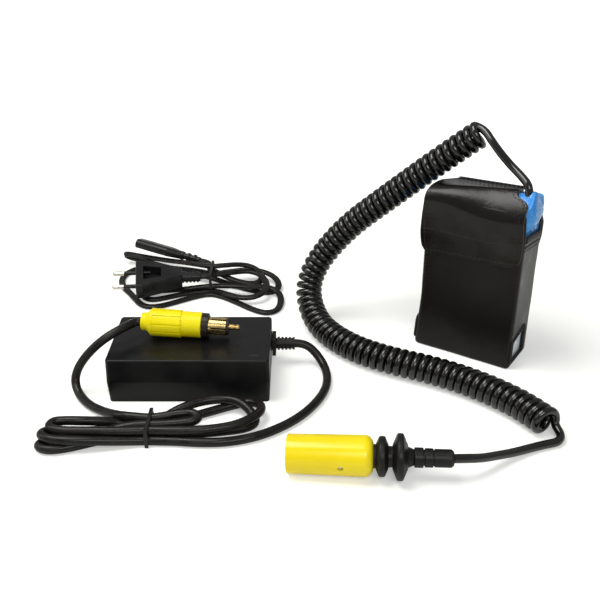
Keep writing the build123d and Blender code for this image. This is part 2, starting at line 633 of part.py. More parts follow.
# ---------------------------------------------------------------- pouch and battery
# These pieces are drawn in the pouch's own frame, with X across its front, Y to its rear and
# its origin at the front left corner of its base, and are then set down where it stands.
pouch_corner = (161.9, 47.6)
pouch_yaw = -32.8
pouch_wall = 1.2
pouch_base = 1.4
pouch_front_radius, pouch_rear_radius = 3.0, 4.0
side_room, depth_room, top_room = 0.7, 0.2, 0.32     # between the battery pack and the pouch

cell_radius, cell_length = 9.1, 65.0
cell_rows, cell_columns = 6, 2
cell_gap = 0.06
cell_end_round = 0.9
strip_width, strip_thickness = 7.0, 0.15
paper_radius, paper_thickness = 8.0, 0.2
wrap_thickness = 0.25
wrap_corner = 1.6
wrap_slack = 1.0             # loose film past each end of the cells
board_size = (16.0, 8.0, 1.2)

cell_step = 2 * cell_radius + cell_gap
column_step = cell_step * cos(radians(30))
pack_bottom = pouch_base + SEAT_GAP
pack_left = pouch_wall + side_room
pack_front = pouch_wall + depth_room
pack_depth = column_step + 2 * cell_radius + 2 * wrap_thickness + 2 * SEAT_GAP
pack_height = cell_step * (cell_rows - 0.5) + 2 * cell_radius + 2 * wrap_thickness + 2 * SEAT_GAP
pack_length = cell_length + 2 * (strip_thickness + paper_thickness + wrap_slack + wrap_thickness)
pack_top = pack_bottom + pack_height

# The pouch is cut to fit the pack, so its width, depth and heights come from the pack's.
pouch_width = pack_length + 2 * pack_left
pouch_depth = pack_depth + 2 * pack_front
pouch_rear_height = pack_top + top_room
pouch_front_height = pouch_rear_height - 3.0
side_top_front = pouch_rear_height - 20.0            # heights of the side walls' open tops
side_top_rear = pouch_rear_height - 25.5

window_front, window_rear = 1.2, 26.5           # the openings low in the side walls
window_low, window_front_top, window_rear_top = 4.5, 22.0, 26.0
window_corner = 3.0

flap_left, flap_right = -1.0, pouch_width - 1.4      # where the flap's sides are at its fold
fold_left = pouch_rear_height + 2.0                  # the fold's heights there
fold_right = pouch_rear_height + 15.0
flap_thickness = 1.6
flap_low_left = pouch_rear_height - 44.8
flap_low_right = pouch_rear_height - 39.8
flap_corner = 7.0
flap_bow_left, flap_bow_right = 24.0, 32.0       # how far under its fold each side stands out most
catch_thickness = 0.5
catch_width, catch_height = 26.0, 16.0
catch_centre = (33.0, pouch_rear_height - 29.0)

flap_back = -2 * catch_thickness - MOVE_GAP
fold_radius = flap_thickness / 2
fold_y = flap_back - fold_radius

panel_thickness = 1.6
panel_front = fold_y + fold_radius + MOVE_GAP
panel_right = pouch_width - 4.0
panel_stations = (panel_front, 9.0, 19.0, pouch_depth)       # front to rear
panel_left_rise = (0.8, 2.2, 1.8, -0.2)              # the panel's height over the fold's left end
panel_right_drop = (0.2, 2.4, 6.6, 11.4)             # and below its right end
cord_corner = (61.5, 4.0)    # room for the cord at the panel's rear right corner
cord_corner_rear = 56.0
cord_corner_past = 7.0       # how far its cutter goes past the pouch's rear
cord_corner_height = 60.0

loop_x = (0.6, pouch_width - 0.6)
loop_z = (pouch_rear_height - 47.0, pouch_rear_height - 8.0)
loop_bulge = 9.4
loop_strap = 1.6
loop_seam = 5.0

wire_diameter = 5.5          # the curly cord's wire

wedge_left, wedge_full, wedge_rise = 46.0, 60.0, 7.0
wedge_y = (4.6, 14.6)
cord_exit_local = (67.2, 11.6)


def pouch_place():
    return Pos(pouch_corner[0], pouch_corner[1], 0) * Rot(0, 0, pouch_yaw)


def in_pouch(x, y, z):
    """A point of the pouch's frame in the part's frame."""
    return (pouch_place() * Pos(x, y, z)).position


def side_plane(x):
    """The plane across the pouch at x, whose own X is the pouch's Y and whose own Y is up."""
    return Plane(origin=(x, 0, 0), x_dir=(0, 1, 0), z_dir=(1, 0, 0))


def front_plane(y):
    """The plane along the pouch at y, facing its front, whose own Y is up."""
    return Plane(origin=(0, y, 0), x_dir=(1, 0, 0), z_dir=(0, -1, 0))


def pouch_prism(inset, z_range):
    """The pouch's outline, drawn in by inset, between two heights."""
    outline = [(inset, inset), (pouch_width - inset, inset), (pouch_width - inset, pouch_depth - inset),
               (inset, pouch_depth - inset)]
    face = make_face(Polyline(*outline, close=True))
    corners = face.vertices().sort_by(Axis.Y)
    face = fillet(corners[:2], pouch_front_radius - inset)
    face = fillet(face.vertices().sort_by(Axis.Y)[-2:], pouch_rear_radius - inset)
    return extrude(Pos(0, 0, z_range[0]) * face, z_range[1] - z_range[0])


def make_pouch():
    place = pouch_place()
    body = pouch_prism(0, (0, pouch_rear_height))
    body -= pouch_prism(pouch_wall, (pouch_base, pouch_rear_height + 1))
    body -= block((-1, pouch_width + 1), (-1, pouch_wall), (pouch_front_height, pouch_rear_height + 1))
    above_sides = [(pouch_wall, side_top_front), (pouch_depth - pouch_wall, side_top_rear),
                   (pouch_depth - pouch_wall, pouch_rear_height + 1), (pouch_wall, pouch_rear_height + 1)]
    window = [(window_front, window_low), (window_rear, window_low), (window_rear, window_rear_top),
              (window_front, window_front_top)]
    body -= plate(above_sides, pouch_width + 2, side_plane(-1))
    body -= plate(window, pouch_width + 2, side_plane(-1), window_corner)
    save(place * body, "pouch_body")

    def panel_section(x, heights):
        top = list(zip(panel_stations, heights))
        seat = pouch_rear_height + SEAT_GAP
        under = [(pouch_depth, seat), (pouch_depth - pouch_wall, seat)]
        under += [(y, z - panel_thickness) for y, z in reversed(top[:-1])]
        return side_plane(x) * make_face(Polyline(*top, *under, close=True))

    left_heights = [fold_left + rise for rise in panel_left_rise]
    right_heights = [fold_right - drop for drop in panel_right_drop]
    top_panel = loft([panel_section(flap_left + 1, left_heights), panel_section(panel_right, right_heights)],
                     ruled=True)
    past_rear = pouch_depth + cord_corner_past
    corner = [cord_corner, (pouch_width + 2, cord_corner[1]), (pouch_width + 2, past_rear),
              (cord_corner_rear, past_rear)]
    top_panel -= plate(corner, cord_corner_height, Plane.XY.offset(pouch_front_height))
    save(place * top_panel, "pouch_top_panel")

    outer = [(0, loop_z[0]), (loop_strap, loop_z[0]), (loop_bulge, loop_z[0] + 2 * loop_seam),
             (loop_bulge, loop_z[1] - 2 * loop_seam), (loop_strap, loop_z[1]), (0, loop_z[1])]
    inner_bulge, inner_seam = loop_bulge - loop_strap, 2.3 * loop_seam
    inner = [(-1, loop_z[0] + loop_seam), (0.2, loop_z[0] + loop_seam), (inner_bulge, loop_z[0] + inner_seam),
             (inner_bulge, loop_z[1] - inner_seam), (0.2, loop_z[1] - loop_seam), (-1, loop_z[1] - loop_seam)]
    loop = plate(outer, loop_x[1] - loop_x[0], side_plane(loop_x[0]))
    loop -= plate(inner, loop_x[1] - loop_x[0] + 2, side_plane(loop_x[0] - 1))
    seat = Pos(0, pouch_depth + SEAT_GAP, 0)
    save(place * seat * loop, "belt_loop")

    pad = Pos(*catch_centre) * RectangleRounded(catch_width, catch_height, 2.0)
    save(place * extrude(front_plane(-SEAT_GAP) * pad, catch_thickness - SEAT_GAP), "flap_catch_loops")
    save(place * extrude(front_plane(flap_back) * pad, -catch_thickness), "flap_catch_hooks")

    outline = [(flap_left, fold_left), (flap_right, fold_right), (pouch_width, fold_right - flap_bow_right),
               (pouch_width - 0.6, flap_low_right), (flap_left + 1, flap_low_left),
               (flap_left - 0.8, fold_left - flap_bow_left)]
    face = make_face(Polyline(*outline, close=True))
    face = fillet(face.vertices().sort_by(Axis.Y)[:2], flap_corner)
    flap = extrude(front_plane(flap_back) * face, flap_thickness)
    slope = Vector(flap_right - flap_left, 0, fold_right - fold_left)
    flap += on_axis((flap_left, fold_y, fold_left), slope) * rod(fold_radius, slope.length)
    save(place * flap, "pouch_flap")
    hinge = in_pouch(flap_left, fold_y, fold_left)
    line = in_pouch(flap_left - slope.X, fold_y, fold_left - slope.Z) - hinge
    print("flap hinge at", hinge, "axis", line.normalized())


def make_battery():
    place = pouch_place()
    half_strip, half_paper = strip_width / 2, paper_radius - 0.3
    first_y = pack_front + wrap_thickness + SEAT_GAP + cell_radius
    first_z = pack_bottom + wrap_thickness + SEAT_GAP + cell_radius
    cells_left = pack_left + wrap_thickness + wrap_slack + paper_thickness + strip_thickness
    cells, strips, papers = [], [], []
    for column in range(cell_columns):
        y = first_y + column * column_step
        lowest = first_z + column * cell_step / 2
        highest = lowest + (cell_rows - 1) * cell_step
        for row in range(cell_rows):
            start = (cells_left, y, lowest + row * cell_step)
            cell = on_axis(start, (1, 0, 0)) * rod(cell_radius, cell_length)
            cells.append(place * fillet(cell.edges(), cell_end_round))
        strip_left, strip_right = cells_left - strip_thickness, cells_left + cell_length
        for strip_x, paper_x in ((strip_left, strip_left - paper_thickness),
                                 (strip_right, strip_right + strip_thickness)):
            strip = block((strip_x, strip_x + strip_thickness), (y - half_strip, y + half_strip),
                          (lowest - half_strip, highest + half_strip))
            paper = block((paper_x, paper_x + paper_thickness), (y - half_paper, y + half_paper),
                          (lowest - paper_radius, highest + paper_radius))
            strips.append(place * strip)
            papers.append(place * paper)
    save(Compound(children=cells), "battery_cells")
    save(Compound(children=strips), "nickel_strips")
    save(Compound(children=papers), "cell_end_papers")

    def film(inset):
        solid = block((pack_left + inset, pack_left + pack_length - inset),
                      (pack_front + inset, pack_front + pack_depth - inset),
                      (pack_bottom + inset, pack_top - inset))
        solid = fillet(solid.edges().filter_by(Axis.Z), wrap_corner - inset)
        right = pack_left + pack_length - inset
        peak = pack_top + wedge_rise - inset
        rise = [(wedge_left + 2 * inset, pack_top - 2), (right, pack_top - 2), (right, peak - 1.5),
                (right - 3, peak), (wedge_full + inset, peak)]
        return solid + plate(rise, wedge_y[1] - wedge_y[0] - 2 * inset, front_plane(wedge_y[1] - inset))

    exit_z = pack_top + wedge_rise
    save(place * (film(0) - film(wrap_thickness)), "battery_wrap")
    length, depth, thickness = board_size
    board_left = pack_left + pack_length - wrap_thickness - wrap_slack - length
    board = block((board_left, board_left + length), (wedge_y[0] + 1, wedge_y[0] + 1 + depth),
                  (pack_top + SEAT_GAP, pack_top + SEAT_GAP + thickness))
    save(place * board, "protection_board")
    return in_pouch(*cord_exit_local, exit_z + SEAT_GAP)


# ---------------------------------------------------------------- in-line socket
sock_mouth_radius, sock_rear_radius = 11.7, 12.25
sock_length = 50.8
sock_dome = 5.2
sock_recess_radius, sock_recess_depth = 9.0, 5.2
liner_bore, liner_wall, liner_depth = 6.05, 0.8, 15.0
sock_core_length = 10.0            # the insulator behind the sleeve contact
pole_bore, pole_wall, pole_base = 2.05, 0.9, 1.5
boot_necks = 6.15
disc_small_radius, disc_small_width, disc_small_at = 11.9, 7.4, 55.8
disc_rim = 3.4               # each disc is thicker round the cord and thins to this at its rim
disc_large_radius, disc_large_width, disc_large_at = 13.85, 9.0, 66.4
boot_rings = [(74.5, 5.9, 5.3), (80.5, 5.6, 5.0)]     # start, radius and width of each
boot_end_radius, boot_end_start, boot_length = 5.35, 86.2, 97.3
boot_core_radius = 4.7
screw_pocket_radius, screw_pocket_depth = 1.7, 3.0
screw_pocket_at, screw_pocket_turn = 32.0, -176.0

# It lies on the rim of its mouth and on the edge of the boot's larger disc.
sock_yaw = -5.3
sock_pitch = degrees(atan2(disc_large_radius - sock_mouth_radius, disc_large_at))
sock_axis = heading(sock_yaw, sock_pitch)
sock_mouth = Vector(66.6, -101.2, sock_mouth_radius * cos(radians(sock_pitch)) + SEAT_GAP)
boot_end = sock_mouth + sock_axis * boot_length


def make_socket():
    place = on_axis(sock_mouth, sock_axis)
    barrel = sock_length - sock_dome
    slope = (sock_rear_radius - sock_mouth_radius) / barrel
    wall = Polyline((0, 0, 0), (sock_mouth_radius, 0, 0), (sock_rear_radius, 0, barrel))
    dome = TangentArc((sock_rear_radius, 0, barrel), (boot_necks + 1.2, 0, sock_length),
                      tangent=(slope, 0, 1))
    back = Polyline((boot_necks + 1.2, 0, sock_length), (0, 0, sock_length), (0, 0, 0))
    body = revolve(make_face([wall, dome, back]), Axis.Z)
    liner_outer = liner_bore + liner_wall
    core_start = sock_recess_depth + liner_depth + SEAT_GAP
    body -= rod(sock_recess_radius, sock_recess_depth + 1, z=-1)
    body -= rod(liner_outer, liner_depth + sock_core_length + 2 * SEAT_GAP, z=sock_recess_depth)
    body = fillet(body.edges().group_by(Axis.Z)[0], 0.5)
    screw_axis = Rot(0, 0, screw_pocket_turn) * Pos(sock_rear_radius, 0, screw_pocket_at) * Rot(0, -90, 0)
    body -= screw_axis * rod(screw_pocket_radius, screw_pocket_depth + 1, z=-1)
    save(place * body, "socket_body")
    head = screw_axis * rod(screw_pocket_radius - FIT_GAP, 1.2, z=screw_pocket_depth - 1.2 - SEAT_GAP)
    save(place * head, "socket_screw")

    liner = rod(liner_outer - SEAT_GAP, liner_depth, z=sock_recess_depth)
    save(place * (liner - rod(liner_bore, liner_depth + 2, z=sock_recess_depth - 1)), "socket_sleeve_contact")
    core = rod(liner_outer - SEAT_GAP, sock_core_length, z=core_start)
    core -= rod(pole_bore + pole_wall, sock_core_length + 2, z=core_start - 1)
    save(place * core, "socket_insulator")
    pole = rod(pole_bore + pole_wall - SEAT_GAP, sock_core_length, z=core_start)
    pole -= rod(pole_bore, sock_core_length - pole_base + 1, z=core_start - 1)
    save(place * pole, "socket_centre_contact")

    start = sock_length + SEAT_GAP
    between = (disc_small_at + disc_large_at) / 2
    boot = turned((0, start), (boot_necks + 0.9, start), (boot_necks + 0.9, disc_small_at),
                  (boot_necks, between), (boot_necks, disc_large_at + disc_large_width / 2),
                  (boot_core_radius, boot_rings[0][0]), (boot_core_radius, boot_end_start),
                  (boot_end_radius, boot_end_start), (boot_end_radius, boot_length - 1.5),
                  (boot_end_radius - 1.2, boot_length), (0, boot_length))
    for middle, radius, width in ((disc_small_at, disc_small_radius, disc_small_width),
                                  (disc_large_at, disc_large_radius, disc_large_width)):
        low, high = middle - width / 2, middle + width / 2
        disc = turned((0, low), (boot_necks + 1, low), (radius, middle - disc_rim / 2),
                      (radius, middle + disc_rim / 2), (boot_necks + 1, high), (0, high))
        rim = disc.edges().filter_by(GeomType.CIRCLE).sort_by(SortBy.RADIUS)[-2:]
        boot += fillet(rim, disc_rim / 2 - 0.2)
    for begin, radius, width in boot_rings:
        boot += fillet(rod(radius, width, z=begin).edges(), 0.5)
    save(place * boot, "socket_boot")


# ---------------------------------------------------------------- curly cord
wire_rest = wire_diameter / 2 + SEAT_GAP
coil_diameter = 20.6
coil_rest = coil_diameter / 2 + SEAT_GAP
coil_wire_radius = (coil_diameter - wire_diameter) / 2     # from the coil's axis to the wire's

coil_points = [(229.4, -68.4, coil_rest), (220.2, -52.6, coil_rest), (206.5, -37.2, coil_rest),
               (192.1, -24.6, coil_rest), (177.0, -13.8, coil_rest), (161.0, -4.8, coil_rest),
               (144.3, 2.8, coil_rest), (127.9, 11.8, coil_rest), (112.6, 23.2, coil_rest),
               (99.4, 38.4, coil_rest), (89.3, 55.0, 11.2), (82.6, 73.5, 16.4), (80.6, 85.6, 28.4),
               (86.0, 92.4, 43.2), (98.0, 94.6, 60.4), (114.2, 92.2, 79.4), (133.2, 86.2, 97.4),
               (152.8, 79.6, 115.8), (173.0, 73.0, 134.6), (196.4, 67.4, 154.0)]
tail_points = [(204.4, 59.4, 159.0), (207.8, 49.0, 150.2), (213.8, 39.8, 143.4), (220.4, 29.8, 138.0)]
tail_drop = 6.0              # the straight end of the tail over the battery
lead_down_points = [(235.6, -79.6, wire_rest), (226.2, -80.6, wire_rest), (214.5, -85.2, 3.1),
                    (203.0, -91.4, 4.6), (191.5, -98.0, 7.6), (181.0, -104.8, 11.0)]
coil_start_angle, coil_end_angle = -30.0, 95.0    # where round the coil's axis the wire leaves each end
lead_first_run, tail_first_run, boot_run = 7.0, 6.5, 7.5


def on_coil_end(end, outward, angle):
    """A point on the wire's circle at a coil's end, turned from the level side towards the top."""
    level = outward.cross(Vector(0, 0, 1)).normalized()
    upward = level.cross(outward)
    turn = radians(angle)
    return end + (level * cos(turn) + upward * sin(turn)) * coil_wire_radius


def make_curly_cord(cord_exit):
    save(cord_tube("curly_cord_coil", coil_points, coil_diameter), "curly_cord_coil")
    ends = [Vector(*point) for point in coil_points]

    outward = (ends[-1] - ends[-2]).normalized()
    tail_start = on_coil_end(ends[-1], outward, coil_end_angle)
    tail = cord_tube("curly_cord_tail", [tail_start, tail_start + outward * tail_first_run, *tail_points,
                                         cord_exit + Vector(0, 0, tail_drop), cord_exit], wire_diameter)
    save(tail, "curly_cord_tail")

    outward = (ends[0] - ends[1]).normalized()
    lead_start = on_coil_end(ends[0], outward * -1, coil_start_angle)
    lead = cord_tube("curly_cord_lead", [lead_start, lead_start + outward * lead_first_run, *lead_down_points,
                                         boot_end + sock_axis * boot_run, boot_end], wire_diameter)
    save(lead, "curly_cord_lead")


make_case()
make_circuit()
strain_relief_end = make_strain_relief()
make_plug()
make_output_lead(strain_relief_end)
make_mains_plug()
make_connector()
make_mains_lead()
make_pouch()
battery_cord_exit = make_battery()
make_socket()
make_curly_cord(battery_cord_exit)
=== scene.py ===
import math

import bpy
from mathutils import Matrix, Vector, noise


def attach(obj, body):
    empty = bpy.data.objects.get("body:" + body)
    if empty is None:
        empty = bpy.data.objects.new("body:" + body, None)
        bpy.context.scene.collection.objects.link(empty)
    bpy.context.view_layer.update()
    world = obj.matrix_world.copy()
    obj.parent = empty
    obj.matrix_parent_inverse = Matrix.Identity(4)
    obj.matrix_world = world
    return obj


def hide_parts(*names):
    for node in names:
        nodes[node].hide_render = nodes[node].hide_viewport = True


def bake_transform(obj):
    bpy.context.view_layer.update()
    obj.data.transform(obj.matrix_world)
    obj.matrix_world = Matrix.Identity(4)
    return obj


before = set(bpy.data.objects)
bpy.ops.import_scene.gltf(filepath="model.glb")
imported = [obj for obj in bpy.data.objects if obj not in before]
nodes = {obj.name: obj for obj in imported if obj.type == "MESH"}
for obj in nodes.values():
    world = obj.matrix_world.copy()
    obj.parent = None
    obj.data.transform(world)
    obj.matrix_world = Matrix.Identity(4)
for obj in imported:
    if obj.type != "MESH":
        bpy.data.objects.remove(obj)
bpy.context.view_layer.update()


# Studio
# The set is laid out on a plain white table under one wide soft lamp, with two
# paler lamps in front of it and to its left that keep the black pieces readable.
def placed(name, data):
    made = bpy.data.objects.new(name, data)
    bpy.context.scene.collection.objects.link(made)
    return made


def area_lamp(name, place, aim, size, power, colour):
    lamp = bpy.data.lights.new(name, "AREA")
    lamp.shape = "RECTANGLE"
    lamp.size, lamp.size_y = size
    lamp.energy = power
    lamp.color = colour
    holder = placed(name, lamp)
    holder.location = place
    holder.rotation_euler = (Vector(aim) - Vector(place)).to_track_quat("-Z", "Y").to_euler()


def fill(tree, node, inputs):
    """Links the inputs that are given another node's socket, and sets the others."""
    for label, value in inputs.items():
        if isinstance(value, bpy.types.NodeSocket):
            tree.links.new(value, node.inputs[label])
        else:
            node.inputs[label].default_value = value


def wired(tree, kind, inputs, **settings):
    node = tree.nodes.new(kind)
    for label, value in settings.items():
        setattr(node, label, value)
    fill(tree, node, inputs)
    return node


def worked(tree, operation, *terms):
    return wired(tree, "ShaderNodeMath", dict(enumerate(terms)), operation=operation).outputs[0]


def stepped(tree, value, low, high, to_low=0.0, to_high=1.0):
    ends = {"Value": value, "From Min": low, "From Max": high, "To Min": to_low, "To Max": to_high}
    return wired(tree, "ShaderNodeMapRange", ends, interpolation_type="SMOOTHSTEP").outputs[0]


mirror_share = 0.25


def white_to_the_eye(tree, bounced, seen):
    """A strength for the background: bounced for the light it gives, seen for how it looks."""
    path = tree.nodes.new("ShaderNodeLightPath").outputs
    mirrored = worked(tree, "MULTIPLY", path["Is Glossy Ray"], mirror_share)
    through = worked(tree, "MAXIMUM", path["Is Camera Ray"], path["Is Transmission Ray"])
    shown = worked(tree, "MAXIMUM", through, mirrored)
    return worked(tree, "ADD", worked(tree, "MULTIPLY", shown, seen - bounced), bounced)


camera_tilt = 27.4
camera = placed("table_camera", bpy.data.cameras.new("table_camera"))
camera.data.lens = 50.0
camera.data.sensor_width = 36.0
camera.location = (0.07425, -0.4964, 0.3186)
camera.rotation_euler = (math.radians(90.0 - camera_tilt), 0.0, 0.0)
bpy.context.scene.camera = camera
bpy.context.scene.view_settings.view_transform = "Standard"

area_lamp("overhead_softbox", (-0.36, -0.02, 1.20), (0.06, 0.03, 0.0), (0.75, 0.65), 12.6, (1.0, 0.985, 0.96))
set_middle = (0.06, 0.0, 0.05)
area_lamp("front_softbox", (0.30, -1.1, 1.0), set_middle, (0.8, 0.5), 8.0, (1.0, 0.99, 0.98))
area_lamp("left_softbox", (-1.1, -0.1, 0.8), set_middle, (0.6, 0.8), 3.5, (1.0, 0.97, 0.92))

sky_bounce = 0.20
world = bpy.data.worlds.new("studio")
world.use_nodes = True
bpy.context.scene.world = world
tree = world.node_tree
sky_light = white_to_the_eye(tree, sky_bounce, 1.0)
fill(tree, tree.nodes["Background"], {"Color": (1.0, 1.0, 1.0, 1.0), "Strength": sky_light})

reach = 4.0
table_mesh = bpy.data.meshes.new("table")
table_mesh.from_pydata([(-reach, -reach, 0), (reach, -reach, 0), (reach, reach, 0), (-reach, reach, 0)], [],
                       [(0, 1, 2, 3)])
table = placed("table", table_mesh)
table_paint = bpy.data.materials.new("table_paint")
table_paint.use_nodes = True
tree = table_paint.node_tree
shaded_radius, white_radius, glow_under_set = 0.20, 0.75, 0.34
here = tree.nodes.new("ShaderNodeTexCoord").outputs["Object"]
distance = wired(tree, "ShaderNodeVectorMath", {0: here, 1: (0.07, 0.03, 0.0)}, operation="DISTANCE")
outwards = stepped(tree, distance.outputs["Value"], shaded_radius, white_radius, glow_under_set)
fill(tree, tree.nodes["Principled BSDF"], {
    "Base Color": (0.80, 0.815, 0.775, 1.0), "Roughness": 0.9, "Specular IOR Level": 0.1,
    "Emission Color": (1.0, 1.0, 1.0, 1.0),
    "Emission Strength": worked(tree, "MULTIPLY", white_to_the_eye(tree, 0.0, 1.0), outwards),
})
table_mesh.materials.append(table_paint)


# Adapter case
# Two shells moulded in black ABS with a fine spark-eroded texture, snapped and glued
# along the parting line. Handling has polished the texture a little in patches.
def shader_group(name, inputs):
    """A surface's node group. An input that starts as three numbers is a colour, and one number a value."""
    group = bpy.data.node_groups.new(name, "ShaderNodeTree")
    group.interface.new_socket("Coordinates", in_out="INPUT", socket_type="NodeSocketVector")
    for label, value in inputs.items():
        kind, start = ("Color", (*value, 1.0)) if isinstance(value, tuple) else ("Float", value)
        socket = group.interface.new_socket(label, in_out="INPUT", socket_type="NodeSocket" + kind)
        socket.default_value = start
    for label, kind in (("Colour", "Color"), ("Roughness", "Float"), ("Height", "Float")):
        group.interface.new_socket(label, in_out="OUTPUT", socket_type="NodeSocket" + kind)
    return group, group.nodes.new("NodeGroupInput").outputs, group.nodes.new("NodeGroupOutput")


def cloud(tree, coordinates, scale, detail=2.0, roughness=0.5):
    return wired(tree, "ShaderNodeTexNoise", {"Vector": coordinates, "Scale": scale, "Detail": detail,
                                              "Roughness": roughness}).outputs[0]


def blended(tree, share, first, second):
    mix = wired(tree, "ShaderNodeMix", {"Factor": share, "A": first, "B": second}, data_type="RGBA")
    return mix.outputs["Result"]


moulded_skin, given, put_out = shader_group("moulded_skin", {
    "Colour": (0.02, 0.02, 0.02), "Handled Colour": (0.03, 0.03, 0.03), "Roughness": 0.4, "Roughness Spread": 0.1,
    "Patch Scale": 60.0, "Grain Scale": 1800.0, "Grain Height": 0.00001,
})
patches = stepped(moulded_skin, cloud(moulded_skin, given["Coordinates"], given["Patch Scale"], 4.0), 0.35, 0.68)
grain = cloud(moulded_skin, given["Coordinates"], given["Grain Scale"])
spread = worked(moulded_skin, "MULTIPLY", worked(moulded_skin, "SUBTRACT", patches, 0.5), given["Roughness Spread"])
fill(moulded_skin, put_out, {
    "Colour": blended(moulded_skin, patches, given["Colour"], given["Handled Colour"]),
    "Roughness": worked(moulded_skin, "ADD", given["Roughness"], spread),
    "Height": worked(moulded_skin, "MULTIPLY", grain, given["Grain Height"]),
})


def finish(name, group, values, constants):
    """A material: the group gives what changes over the surface, and the shader holds the constants."""
    material = bpy.data.materials.new(name)
    material.use_nodes = True
    tree = material.node_tree
    values = {label: (*value, 1.0) if isinstance(value, tuple) else value for label, value in values.items()}
    values["Coordinates"] = tree.nodes.new("ShaderNodeTexCoord").outputs["Object"]
    made = wired(tree, "ShaderNodeGroup", values, node_tree=group).outputs
    bump = wired(tree, "ShaderNodeBump", {"Distance": 1.0, "Height": made["Height"]})
    fill(tree, tree.nodes["Principled BSDF"], {"Base Color": made["Colour"], "Roughness": made["Roughness"],
                                               "Normal": bump.outputs[0]} | constants)
    return material


def moulding(name, colour, handled, roughness, spread, grain_scale, grain_height, patch_scale=60.0, **constants):
    values = {"Colour": colour, "Handled Colour": handled, "Roughness": roughness, "Roughness Spread": spread,
              "Grain Scale": grain_scale, "Grain Height": grain_height, "Patch Scale": patch_scale}
    shine = {"Specular IOR Level": 0.2} | {k.replace("_", " "): v for k, v in constants.items()}
    return finish(name, moulded_skin, values, shine)


def coat_nodes(material, *names):
    for name in names:
        for slot in nodes[name].material_slots:
            slot.link = "OBJECT"
            slot.material = material


case_black = moulding("case_black", (0.0048, 0.0046, 0.0050), (0.0070, 0.0068, 0.0072), 0.33, 0.10, 1900.0, 0.000010)
coat_nodes(case_black, "adapter_lower_shell", "adapter_upper_shell")


# Circuit board and its parts
# A phenolic board on four posts carries the mains side on the left and the smoothing
# capacitors on the right, with the transformer between them. Nothing of it shows.
board_green = moulding("board_green", (0.012, 0.085, 0.035), (0.02, 0.11, 0.045), 0.35, 0.15, 600.0, 0.00002)
steel = moulding("screw_steel", (0.56, 0.56, 0.57), (0.66, 0.66, 0.66), 0.32, 0.15, 900.0, 0.000004, Metallic=1.0)
ferrite = moulding("ferrite_grey", (0.035, 0.035, 0.038), (0.055, 0.055, 0.058), 0.6, 0.1, 700.0, 0.00003)
winding = moulding("winding_tape", (0.72, 0.50, 0.06), (0.80, 0.60, 0.12), 0.42, 0.2, 300.0, 0.00002)
capacitor = moulding("capacitor_sleeve", (0.022, 0.028, 0.06), (0.03, 0.04, 0.08), 0.25, 0.1, 500.0, 0.000005)
sink = moulding("sink_aluminium", (0.62, 0.63, 0.64), (0.74, 0.75, 0.76), 0.38, 0.2, 900.0, 0.000006, Metallic=1.0)
resin = moulding("transistor_resin", (0.018, 0.018, 0.019), (0.028, 0.028, 0.028), 0.5, 0.1, 1500.0, 0.00001)
glass = moulding("fuse_glass", (0.90, 0.93, 0.93), (0.95, 0.97, 0.97), 0.06, 0.04, 400.0, 0.0,
                 Transmission_Weight=1.0, IOR=1.5)
lamp_green = moulding("lamp_green", (0.06, 0.42, 0.10), (0.10, 0.50, 0.14), 0.2, 0.05, 400.0, 0.0)
coat_nodes(board_green, "circuit_board")
coat_nodes(steel, "board_screws")
coat_nodes(ferrite, "transformer_core", "filter_choke")
coat_nodes(winding, "transformer_winding")
coat_nodes(capacitor, "bulk_capacitor", "smoothing_capacitors")
coat_nodes(sink, "heat_sinks")
coat_nodes(resin, "power_transistors")
coat_nodes(glass, "fuse")
coat_nodes(lamp_green, "status_led")


# Mains inlet and status lens
# The figure-eight inlet is moulded in harder, glossier nylon round two nickel pins. The
# lens is a slip of smoked acrylic pressed into its slot from inside the lid.
inlet_black = moulding("inlet_black", (0.009, 0.009, 0.0095), (0.013, 0.013, 0.0135), 0.28, 0.08, 900.0, 0.000005)
nickel = moulding("nickel_plate", (0.52, 0.48, 0.42), (0.62, 0.58, 0.51), 0.22, 0.12, 800.0, 0.000002, Metallic=1.0)
smoked = moulding("smoked_lens", (0.012, 0.010, 0.010), (0.018, 0.015, 0.014), 0.10, 0.05, 500.0, 0.0,
                  Coat_Weight=0.6, Coat_Roughness=0.05)
coat_nodes(inlet_black, "mains_inlet")
coat_nodes(nickel, "mains_inlet_pins", "mains_plug_pins", "mains_connector_contacts")
coat_nodes(smoked, "status_lens")


# Strain relief
# A ribbed boot in soft black PVC, moulded on to the lead and held by its flange in a
# square notch between the shells.
soft_black = moulding("soft_black", (0.0075, 0.007, 0.007), (0.012, 0.011, 0.0105), 0.42, 0.12, 1300.0, 0.00001)
coat_nodes(soft_black, "output_strain_relief")


# Adapter lead
# A 6 mm round lead in satin PVC runs from the adapter's strain relief round to the
# front, where its spare length is folded back and forth into a hank, and then up
# on to the case, where it ends in the yellow accessory plug.
lead_jacket = moulding("lead_jacket", (0.0075, 0.007, 0.0068), (0.014, 0.0125, 0.0115), 0.30, 0.16, 1500.0, 0.000008,
                       90.0)


def laid_curve(name, points, thickness, resolution):
    line = bpy.data.curves.new(name, "CURVE")
    line.dimensions = "3D"
    spline = line.splines.new("NURBS")
    spline.points.add(len(points) - 1)
    for spot, (x, y, z) in zip(spline.points, points):
        spot.co = (x / 1000.0, y / 1000.0, z / 1000.0, 1.0)
    spline.order_u = 3
    spline.use_endpoint_u = True
    spline.resolution_u = resolution
    line.resolution_u = resolution
    line.bevel_depth = thickness / 2000.0
    line.bevel_resolution = 4
    line.use_fill_caps = True
    return placed(name, line)


